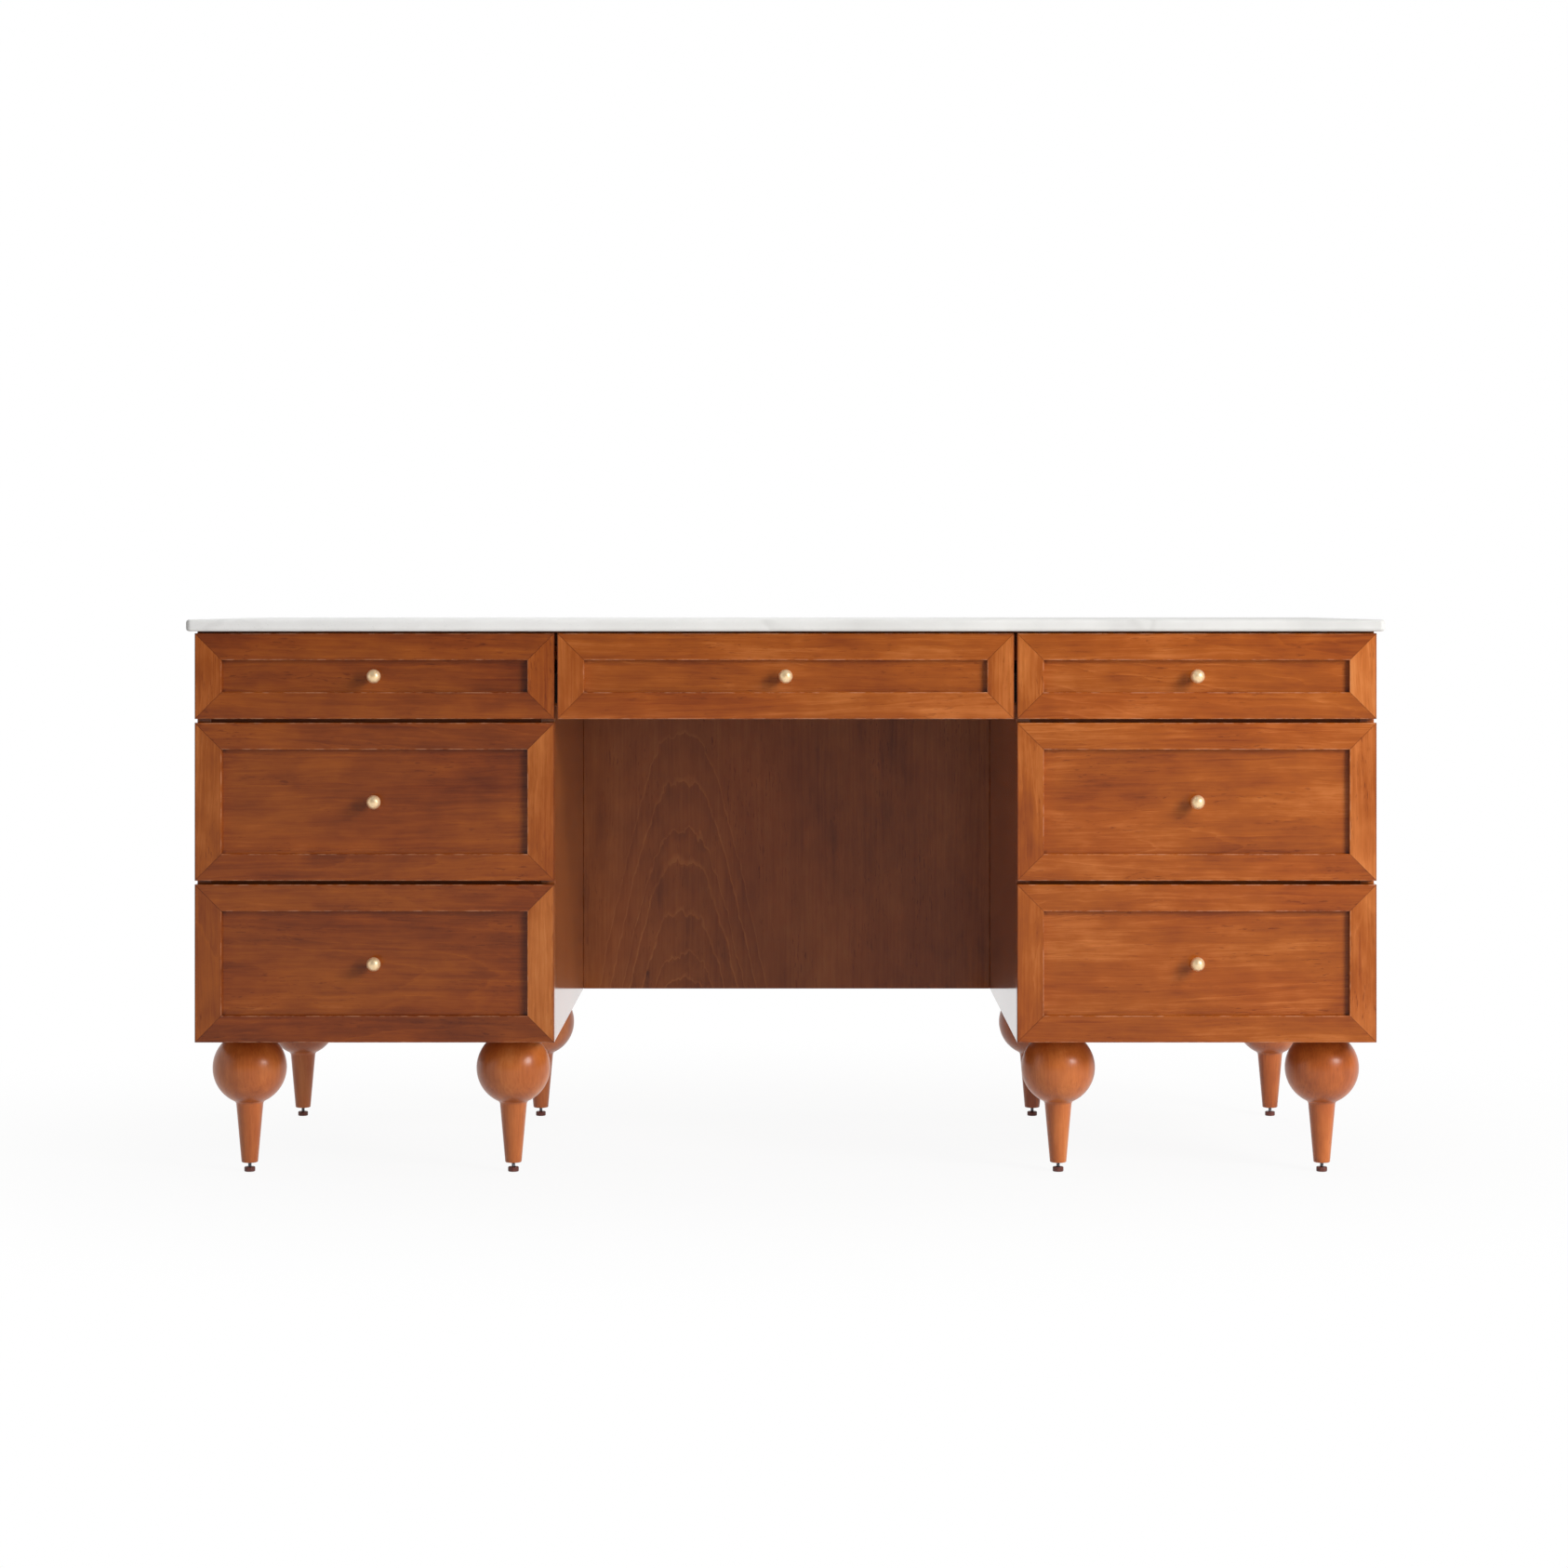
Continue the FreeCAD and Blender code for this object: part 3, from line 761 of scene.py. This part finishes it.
# The bottom boards, bored for the legs' bolts
for side in ("left", "right"):
    lo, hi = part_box(f"{side}_bottom_panel")
    centres = [sum(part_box(f"{foot}_leveller"), Vector()) / 2 for foot in feet if foot.startswith(side)]
    holes = [rod_shape(bolt_hole_radius, c, 2, lo.z - board_arris, hi.z + board_arris) for c in centres]
    shape = cut(box_shape(lo, hi), holes)
    piece(f"{side}_bottom_board", [wooden(shape, lo, hi, 0, wear=0.3)], frame_wood, "carcass",
          [f"{side}_bottom_panel"])


# The rails in the gaps between the fronts of each pedestal, darkened (tone 0.45) as painted shade, since they
# show only in the dark gaps
lo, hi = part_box("drawer_rails")
parts = []
for side in ("left", "right"):
    inner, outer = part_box(f"{side}_bottom_panel")
    for upper, lower in (("top", "middle"), ("middle", "bottom")):
        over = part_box(f"{side}_{upper}_drawer_front")[0].z
        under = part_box(f"{side}_{lower}_drawer_front")[1].z
        level = (over + under) / 2
        half = (outer.z - inner.z) / 2
        low = Vector((inner.x, lo.y, level - half))
        high = Vector((outer.x, hi.y, level + half))
        parts.append(wooden(box_shape(low, high), low, high, 0, tone=0.45, wear=0.3))
piece("dividing_rails", parts, frame_wood, "carcass", ["drawer_rails"])


# Drawer fronts

def member_shape(length, thick):
    """A mitred member along X: outer edge at z = 0, face at y = 0, rounded arrises and a groove."""
    groove_back = panel_recess + panel_thick
    groove_floor = member_width - groove_depth
    section = arc((outer_arris, outer_arris), outer_arris, 180, 270, steps=4)
    section += [(thick, 0.0), (thick, member_width), (groove_back, member_width),
                (groove_back, groove_floor), (panel_recess, groove_floor), (panel_recess, member_width)]
    section += arc((inner_arris, member_width - inner_arris), inner_arris, 90, 180, steps=3)
    return prism_shape(section, -1, 1, lambda y, z, end: Vector((end * (length / 2 - z - mitre_gap), y, z)))


def member(length, thick, tone, wear):
    """A member with its wood: reach narrows along the mitre, and an arris value below 0 paints shade on the
    outer edge.
    """
    shape = member_shape(length, thick)
    part = wooden(shape, (-length / 2, 0, 0), (length / 2, thick, member_width), 0, tone, wear)
    reach = [(length / 2 - z, member_width / 2, thick / 2) for _, _, z in part.points]
    return part._replace(reach=reach)


def drawer_front(drawer, tone, left_stile, right_stile):
    """Two rails, two stiles and the recessed panel, bored for the knob's screw."""
    lo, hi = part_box(f"{drawer}_drawer_front")
    width, thick, height = hi - lo
    centre = (lo + hi) / 2
    parts = []
    # Stiles take arris values below 0: painted shade on their outer edges, pale arrises on their inner ones;
    # their tones carry painted light
    members = ((0, width, height, 1.0, 1.0), (180, width, height, 1.0, 1.0),
               (90, height, width, left_stile, -1.0), (270, height, width, right_stile, -1.0))
    for turn, length, reach, shade, wear in members:
        matrix = Matrix.Translation((centre.x, lo.y, centre.z)) @ Matrix.Rotation(math.radians(turn), 4, "Y")
        matrix = matrix @ Matrix.Translation((0, 0, -reach / 2))
        part = member(length, thick, tone * shade * chance.uniform(0.96, 1.04), wear)
        parts.append(part._replace(points=[matrix @ Vector(p) for p in part.points]))
    edge = member_width - groove_depth + panel_play
    face = lo.y + panel_recess
    low = Vector((lo.x + edge, face, lo.z + edge))
    high = Vector((hi.x - edge, face + panel_thick, hi.z - edge))
    hole = rod_shape(screw_hole_radius, centre, 1, face - panel_thick, face + 2 * panel_thick)
    shape = cut(box_shape(low, high, 0), [hole])
    seen = Vector((member_width, 0, member_width))
    tone *= chance.uniform(0.96, 1.02)
    # The panel's grime is partly dirt and partly painted shade where the frame shades its recess
    parts.append(wooden(shape, lo + seen, hi - seen, 0, tone, wear=0.0, grime_and_shade=1.0))
    piece(f"{drawer}_front", parts, front_wood, f"{drawer}_drawer", [f"{drawer}_drawer_front"])


# Drawer boxes

def tail_heights(bottom, height):
    """Each dovetail's middle, and half its height at the root and the tip."""
    count = max(1, round(height / dovetail_pitch))
    step = height / count
    root_half = step * tail_share / 2
    middles = [bottom + step * (tail + 0.5) for tail in range(count)]
    return middles, root_half, root_half + box_wall * tail_flare_share


def side_shape(x0, x1, y0, y1, bottom, height):
    """A box side with a row of tails at each end."""
    middles, root_half, tip_half = tail_heights(bottom, height)
    outline = []
    for root, tip, order in ((y0 + box_wall, y0, 1), (y1 - box_wall, y1, -1)):
        row = [(root, bottom)]
        for middle in middles:
            row += [(root, middle - root_half), (tip, middle - tip_half), (tip, middle + tip_half),
                    (root, middle + root_half)]
        row.append((root, bottom + height))
        outline += row[::order]
    return prism_shape(outline, x0, x1, lambda y, z, x: Vector((x, y, z)))


def end_shape(x0, x1, outer, inner, bottom, height):
    """An inner front or a back, whose pins fill the room between the sides' tails."""
    middles, root_half, tip_half = tail_heights(bottom, height)
    rows = []
    for y, half in ((outer, tip_half), (inner, root_half)):
        heights = [bottom]
        for middle in middles:
            heights += [middle - half, middle + half]
        rows.append((y, heights + [bottom + height]))
    columns = (x0, x0 + box_wall, x1 - box_wall, x1)
    last = 2 * len(middles) + 1
    points = [Vector((x, y, z)) for x in columns for y, heights in rows for z in heights]

    along, cross, up = 2 * (last + 1), last + 1, 1
    faces = []

    def face(column, row, level, way, other):
        first = column * along + row * cross + level
        faces.append([first, first + way, first + way + other, first + other])

    for level in range(last):
        pin = level % 2 == 0
        for row in (0, 1):
            for column in (0, 1, 2) if pin else (1,):
                face(column, row, level, along, up)
        for column in (0, 3) if pin else (1, 2):
            face(column, 0, level, cross, up)
    for level in range(last + 1):
        for column in (0, 1, 2) if level in (0, last) else (0, 2):
            face(column, 0, level, along, cross)
    return Shape(points, faces)


def drawer_box(drawer):
    """Two dovetailed sides, an inner front, a back and a floor."""
    lo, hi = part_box(f"{drawer}_drawer_box")
    height = hi.z - lo.z
    parts = []
    for x in (lo.x, hi.x - box_wall):
        shape = side_shape(x, x + box_wall, lo.y, hi.y, lo.z, height)
        parts.append(wooden(shape, (x, lo.y, lo.z), (x + box_wall, hi.y, hi.z), 1,
                            chance.uniform(0.96, 1.04), wear=0.3))
    for outer, inner in ((lo.y, lo.y + box_wall), (hi.y, hi.y - box_wall)):
        shape = end_shape(lo.x, hi.x, outer, inner, lo.z, height)
        parts.append(wooden(shape, (lo.x, min(outer, inner), lo.z), (hi.x, max(outer, inner), hi.z), 0,
                            chance.uniform(0.88, 0.95), wear=0.3))
    front_lo, front_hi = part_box(f"{drawer}_drawer_front")
    hole = rod_shape(screw_hole_radius, (front_lo + front_hi) / 2, 1, lo.y - box_wall, lo.y + 2 * box_wall)
    bored = cut(parts[2], [hole])
    parts[2] = wooden(bored, lo, (hi.x, lo.y + box_wall, hi.z), 0, tone=0.92, wear=0.3)
    low = Vector((lo.x + box_wall, lo.y + box_wall, lo.z + box_floor_lift))
    high = Vector((hi.x - box_wall, hi.y - box_wall, lo.z + box_floor_lift + box_floor_thick))
    # The floor's grime is partly dirt and partly painted shade where the box's walls meet it
    parts.append(wooden(box_shape(low, high, 0), low, high, 0, tone=1.02, wear=0.0, grime_and_shade=0.5))
    piece(f"{drawer}_box", parts, birch, f"{drawer}_drawer", [f"{drawer}_drawer_box"])


# Drawer slides

drawer_roll = slide_lip_radius + slide_sheet
middle_roll = drawer_roll + slide_clearance + slide_sheet
cabinet_roll = middle_roll + slide_clearance + slide_sheet
roll_level = slide_height / 2 - cabinet_roll


def rolled(radius, up, start, turn):
    """A rolled edge, in (across, up) from the cabinet's wall."""
    return [(x, up * y) for x, y in arc((cabinet_roll, roll_level), radius, start, start + turn, steps=10)]


def nested_section(roll):
    """The cabinet or middle member: a web with both edges rolled to the drawer."""
    inner = roll - slide_sheet
    return (rolled(roll, 1, 0, 180) + rolled(roll, -1, 180, -180)
            + rolled(inner, -1, 0, 180) + rolled(inner, 1, 180, -180))


def drawer_member_section():
    """The drawer member: a web whose shelves turn up into the middle member."""
    shelf = roll_level - slide_shelf_drop
    web = slide_thick - slide_sheet
    upper = rolled(drawer_roll, 1, 180, -180) + [(cabinet_roll + drawer_roll, shelf), (slide_thick, shelf)]
    inside = [(web, shelf - slide_sheet), (cabinet_roll + slide_lip_radius, shelf - slide_sheet)]
    inside += rolled(slide_lip_radius, 1, 0, 180)
    mirrored = [(x, -y) for x, y in reversed(upper)] + [(x, -y) for x, y in reversed(inside)]
    return upper + mirrored + inside


def slide_frame(drawer):
    """Both walls with the way to the drawer, the members' axis, and their ends."""
    lo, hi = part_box(f"{drawer}_slide_drawer_members")
    past_wall = cabinet_roll - drawer_roll
    return ((lo.x - past_wall, 1), (hi.x + past_wall, -1)), (lo.z + hi.z) / 2, lo.y, hi.y


def slide_members(drawer, section):
    """One member of the slides on both sides of a drawer."""
    walls, axis, y0, y1 = slide_frame(drawer)
    return [plain(prism_shape(section, y0, y1,
                              lambda x, z, y, wall=wall, hand=hand: Vector((wall + hand * x, y, axis + z))))
            for wall, hand in walls]


def slide_screw_heads(drawer):
    """Domed screw heads along the drawer members' webs."""
    walls, axis, y0, y1 = slide_frame(drawer)
    parts = []
    web = slide_thick - slide_sheet
    head = [(0, 0), (slide_screw_radius, 0)] + dome(slide_screw_radius, 0, slide_screw_height)
    for wall, hand in walls:
        for step in range(slide_screws):
            y = y0 + slide_screw_inset + (y1 - y0 - 2 * slide_screw_inset) * step / (slide_screws - 1)
            place = around(0, (0, y, axis), wall + hand * web, -hand)
            parts.append(plain(lathe_shape(head, place, sides=20)))
    return parts


# Knobs

def knob(drawer):
    """A spun ball knob on its waist and flange, and the screw that holds it."""
    lo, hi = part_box(f"{drawer}_knob")
    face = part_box(f"{drawer}_drawer_front")[0].y + panel_recess
    centre = (lo + hi) / 2
    ball = face - lo.y - knob_ball_radius
    meet = math.degrees(math.asin((knob_waist_radius + knob_fillet) / (knob_ball_radius + knob_fillet)))
    root = ball - (knob_ball_radius + knob_fillet) * math.cos(math.radians(meet))
    rim = (knob_base_radius - knob_ease, knob_base_thick - knob_ease)
    waist = (knob_waist_radius + knob_ease, knob_base_thick + knob_ease)
    profile = [(0, knob_screw_in), (knob_screw_bore, knob_screw_in), (knob_screw_bore, 0)]
    profile += [(knob_base_radius, 0)] + arc(rim, knob_ease, 0, 90, steps=3)
    profile += arc(waist, knob_ease, 270, 180, steps=3)
    profile += arc((knob_waist_radius + knob_fillet, root), knob_fillet, 180, 90 + meet, steps=5)
    profile += arc((0, ball), knob_ball_radius, meet - 90, 90, steps=26)
    turned = lathe_shape(profile, around(1, centre, face, -1), sides=64)
    places = [(p.x - centre.x, p.y - face, p.z - centre.z) for p in turned.points]
    piece(f"{drawer}_pull_knob", [plain(turned)._replace(place=places)], spun_brass, f"{drawer}_drawer",
          [f"{drawer}_knob"], sharp_angle=50)

    head = hi.y - screw_head_thick
    screw = [(0, face - knob_screw_in), (knob_screw_radius, face - knob_screw_in), (knob_screw_radius, head),
             (screw_head_radius, head)]
    screw += dome(screw_head_radius, head, screw_head_thick)
    solid = lathe_shape(screw, around(1, centre), sides=32)
    slots = []
    for wide, tall in ((cross_half_length, cross_half_width), (cross_half_width, cross_half_length)):
        low = (centre.x - wide, head + screw_head_thick * cross_floor_share, centre.z - tall)
        high = (centre.x + wide, hi.y + screw_head_thick, centre.z + tall)
        slots.append(box_shape(low, high, 0))
    piece(f"{drawer}_knob_screw", [plain(cut(solid, slots))], zinc, f"{drawer}_drawer",
          [f"{drawer}_knob"])


for drawer in drawers:
    # Each side's tones carry painted light as well as the wood's own tone
    tone, left_stile, right_stile = side_tones[drawer.split("_")[0]]
    drawer_front(drawer, tone * chance.uniform(0.97, 1.03), left_stile, right_stile)
    drawer_box(drawer)
    knob(drawer)
    piece(f"{drawer}_slide_inner_members", slide_members(drawer, drawer_member_section())
          + slide_screw_heads(drawer), slide_zinc, f"{drawer}_drawer",
          [f"{drawer}_slide_drawer_members"])
    piece(f"{drawer}_slide_centre_members", slide_members(drawer, nested_section(middle_roll)), slide_zinc,
          f"{drawer}_slide", [f"{drawer}_slide_middle_members"])
cabinet_parts = []
for drawer in drawers:
    cabinet_parts += slide_members(drawer, nested_section(cabinet_roll))
piece("slide_outer_members", cabinet_parts, slide_zinc, "carcass", ["slide_cabinet_members"])


# Legs and levellers

def helix_shape(radius, low, high, place):
    """A threaded rod: rows climb one pitch a turn, crest and root by turns."""
    rows = int((high - low - stud_pitch) / stud_pitch) * 2
    points = [place((0.0, 0.0, low)), place((0.0, 0.0, high))]
    grid = []
    core = radius - thread_depth
    levels = [(core, low, 0)] + [(radius if row % 2 else core, low + row * stud_pitch / 2, 1)
                                 for row in range(rows + 1)] + [(core, high, 0)]
    for r, level, climbs in levels:
        ring = []
        for side in range(stud_sides):
            share = side / stud_sides
            angle = 2 * math.pi * share
            ring.append(len(points))
            height = level + climbs * share * stud_pitch
            points.append(place((r * math.cos(angle), r * math.sin(angle), height)))
        grid.append(ring)
    faces = []
    for number, (lower, upper) in enumerate(zip(grid, grid[1:])):
        row = ring_faces(lower, upper)
        climbing = 0 < number < len(grid) - 2
        faces += row[:-1] if climbing else row
    inner = grid[1:-1]
    for first, second, third, fourth in zip(inner, inner[1:], inner[2:], inner[3:]):
        faces.append([first[-1], third[0], fourth[0], second[-1]])
    last = inner[-1][-1], inner[-2][-1], inner[-3][-1]
    faces += [[inner[0][0], inner[1][0], inner[2][0], inner[0][-1]], [last[0], inner[-1][0], last[1]],
              [last[1], inner[-1][0], last[2]]]
    for i in range(stud_sides):
        j = (i + 1) % stud_sides
        faces += [[0, grid[0][j], grid[0][i]], [1, grid[-1][i], grid[-1][j]]]
    return Shape(points, faces)


def leg_profile(seat, foot):
    """A ball cut at its seat, a fillet, and a tapering foot bored for its insert."""
    ball = Vector((0, seat - math.sqrt(leg_ball_radius ** 2 - leg_seat_radius ** 2)))
    neck = Vector((leg_neck_radius, ball.y - math.sqrt(leg_ball_radius ** 2 - leg_neck_radius ** 2)))
    down = (Vector((leg_foot_radius, foot + leg_foot_round)) - neck).normalized()
    out = Vector((-down.y, down.x))
    start = neck + out * leg_neck_round - ball
    lean = start.dot(down)
    run = math.sqrt(lean ** 2 - start.length_squared + (leg_ball_radius + leg_neck_round) ** 2) - lean
    centre = ball + start + down * run
    to_ball = math.degrees(math.atan2(ball.y - centre.y, -centre.x))
    to_cone = math.degrees(math.atan2(-out.y, -out.x))
    top = math.degrees(math.acos(leg_seat_radius / leg_ball_radius))
    profile = [(0, seat)]
    profile += arc(ball, leg_ball_radius, top, to_ball - 180, steps=44)
    profile += arc(centre, leg_neck_round, to_ball, to_cone, steps=6)[1:]
    corner = (leg_foot_radius - leg_foot_round, foot + leg_foot_round)
    profile += arc(corner, leg_foot_round, 0, -90, steps=4)
    bore_top = foot + insert_length
    return profile + [(insert_radius, foot), (insert_radius, bore_top), (0, bore_top)]


def leveller(foot, lo, hi, place):
    """The pad and the threaded stud of a foot."""
    edge = (hi.x - lo.x) / 2 - pad_round
    pad = [(0, 0), (edge, 0)]
    pad += arc((edge, pad_round), pad_round, -90, 0, steps=4)[1:]
    pad += arc((edge, pad_thick - pad_round), pad_round, 0, 90, steps=4)
    pad += [(stud_radius + pad_collar, pad_thick), (stud_radius + pad_dip, pad_thick - pad_dip),
            (0, pad_thick - pad_dip)]
    piece(f"{foot}_pad", [plain(lathe_shape(pad, place, sides=48))], brown_nylon, f"{foot}_foot",
          [f"{foot}_leveller"])
    stud = helix_shape(stud_radius, pad_thick - pad_dip, hi.z, place)
    piece(f"{foot}_stud", [plain(stud)], zinc, f"{foot}_foot", [f"{foot}_leveller"],
          sharp_angle=80)


seat_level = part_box("legs")[1].z
foot_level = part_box("leveller_inserts")[0].z
leg_parts = []
insert_parts = []
for foot in feet:
    lo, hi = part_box(f"{foot}_leveller")
    centre = (lo + hi) / 2
    place = around(2, centre)
    turned = lathe_shape(leg_profile(seat_level, foot_level), place, sides=96)
    low = Vector((centre.x - leg_ball_radius, centre.y - leg_ball_radius, foot_level))
    high = Vector((centre.x + leg_ball_radius, centre.y + leg_ball_radius, seat_level))
    leg_parts.append(wooden(turned, low, high, 2, chance.uniform(0.94, 1.06), wear=0.0,
                            pith=(chance.uniform(0.12, 0.2), chance.uniform(-0.04, 0.04))))
    sleeve_top = foot_level + insert_length
    sleeve = [(stud_radius + stud_play, foot_level), (insert_radius - insert_ease, foot_level),
              (insert_radius, foot_level + insert_ease), (insert_radius, sleeve_top),
              (stud_radius + stud_play, sleeve_top)]
    insert_parts.append(plain(lathe_shape(sleeve, place, sides=40)))
    leveller(foot, lo, hi, place)
piece("turned_legs", leg_parts, leg_wood, "carcass", ["legs"], sharp_angle=50)
piece("foot_inserts", insert_parts, zinc, "carcass", ["leveller_inserts"])
for node in ("leg_bolts", "leg_nuts"):
    frame["nodes"][node].data.materials.clear()
    frame["nodes"][node].data.materials.append(zinc)


# Floor and light

floor_half = 40.0
floor_drop = 0.0003
floor_white_share = 0.93
world_light = 0.15
dim_side_light = 0.14
backdrop_way = (-0.5, 0.8, -0.3)


def seen_straight(nodes):
    """1 for rays from the camera, a mirror or glass, else 0; and 1 for the last two alone."""
    paths = nodes.tree.nodes.new("ShaderNodeLightPath").outputs
    mirrored = nodes.math("MAXIMUM", paths["Is Glossy Ray"], paths["Is Transmission Ray"])
    return nodes.math("MAXIMUM", paths["Is Camera Ray"], mirrored), mirrored


def stage_floor():
    """A pale floor with the desk's soft shadow, which fades to white for the camera."""
    corners = ((-1, -1), (1, -1), (1, 1), (-1, 1))
    points = [Vector((x * floor_half, y * floor_half, -floor_drop)) for x, y in corners]
    floor = object_of("floor", Shape(points, [[0, 1, 2, 3]]))
    nodes = material_nodes("studio_floor")
    place = nodes.add("TexCoord", "Object", {})
    away = nodes.vector("LENGTH", nodes.vector("MULTIPLY", place, (0.7, 1.0, 1.0)), output="Value")
    grain = nodes.noise(place, waves=(30.0, 30.0, 30.0), detail=4.0)
    nodes.set(Base_Color=nodes.ramp(grain, (0.3, 226, 226, 225), (0.7, 232, 232, 231)))
    nodes.set(Roughness=0.9, Specular_IOR_Level=0.0)
    white = nodes.add("Emission", 0, {"Strength": 1.0})
    straight, _ = seen_straight(nodes)
    share = nodes.times(straight, nodes.band(away, low=0.4, high=1.3, start=floor_white_share))
    mixed = nodes.add("MixShader", 0, {0: share, 1: nodes.shader.outputs[0], 2: white})
    nodes.feed(nodes.tree.nodes["Material Output"].inputs["Surface"], mixed)
    floor.data.materials.append(nodes.holder)


def studio_world():
    """White behind the desk, dimmer in reflections of the sitter's side."""
    nodes = Nodes(bpy.data.worlds.new("studio"), "Background")
    bpy.context.scene.world = nodes.holder
    seen = nodes.add("TexCoord", "Generated", {})
    way = nodes.vector("DOT_PRODUCT", seen, backdrop_way, output="Value")
    straight, mirrored = seen_straight(nodes)
    backdrop = nodes.band(way, low=-0.5, high=0.4, start=dim_side_light)
    shown = nodes.math("MULTIPLY_ADD", mirrored, nodes.math("SUBTRACT", backdrop, 1.0), 1.0)
    strength = nodes.band(straight, 0.0, 1.0, world_light, shown, "LINEAR")
    nodes.set(Color=(1.0, 1.0, 1.0, 1.0), Strength=strength)


def lamp(name, place, target, size, power, mirrored=False):
    """A soft lamp that faces a point; reflections show it where it is mirrored."""
    light = bpy.data.lights.new(name, "AREA")
    light.shape = "RECTANGLE"
    light.size, light.size_y = size
    light.energy = power
    thing = bpy.data.objects.new(name, light)
    thing.location = place
    thing.visible_glossy = mirrored
    thing.rotation_euler = (Vector(target) - Vector(place)).to_track_quat("-Z", "Y").to_euler()
    bpy.context.scene.collection.objects.link(thing)


stage_floor()
studio_world()
lamp("key_lamp", (2.85, -2.55, 1.95), (0.2, -0.3, 0.45), (1.1, 1.3), 96, mirrored=True)
lamp("left_fill", (-4.0, -1.8, 1.3), (-0.4, -0.3, 0.4), (2.6, 2.4), 8, mirrored=True)
lamp("front_fill", (3.3, -4.2, 1.1), (0.0, -0.3, 0.4), (1.4, 1.6), 74)
lamp("top_fill", (0.3, 0.1, 3.4), (0.0, 0.1, 0.7), (2.4, 1.6), 36)
lamp("back_fill", (-0.6, 4.4, 2.2), (0.0, 0.3, 0.4), (3.0, 2.4), 84)


# Camera

bpy.context.scene.view_settings.view_transform = "Standard"
camera = bpy.data.objects.new("camera", bpy.data.cameras.new("camera"))
camera.location = camera_place
camera.rotation_euler = (math.radians(90), 0, 0)
camera.data.lens = camera_lens
camera.data.sensor_width = sensor_width
camera.data.shift_x = (image_size / 2 - vanishing_pixel) / image_size
camera.data.shift_y = (horizon_pixel - image_size / 2) / image_size
bpy.context.scene.collection.objects.link(camera)
bpy.context.scene.camera = camera
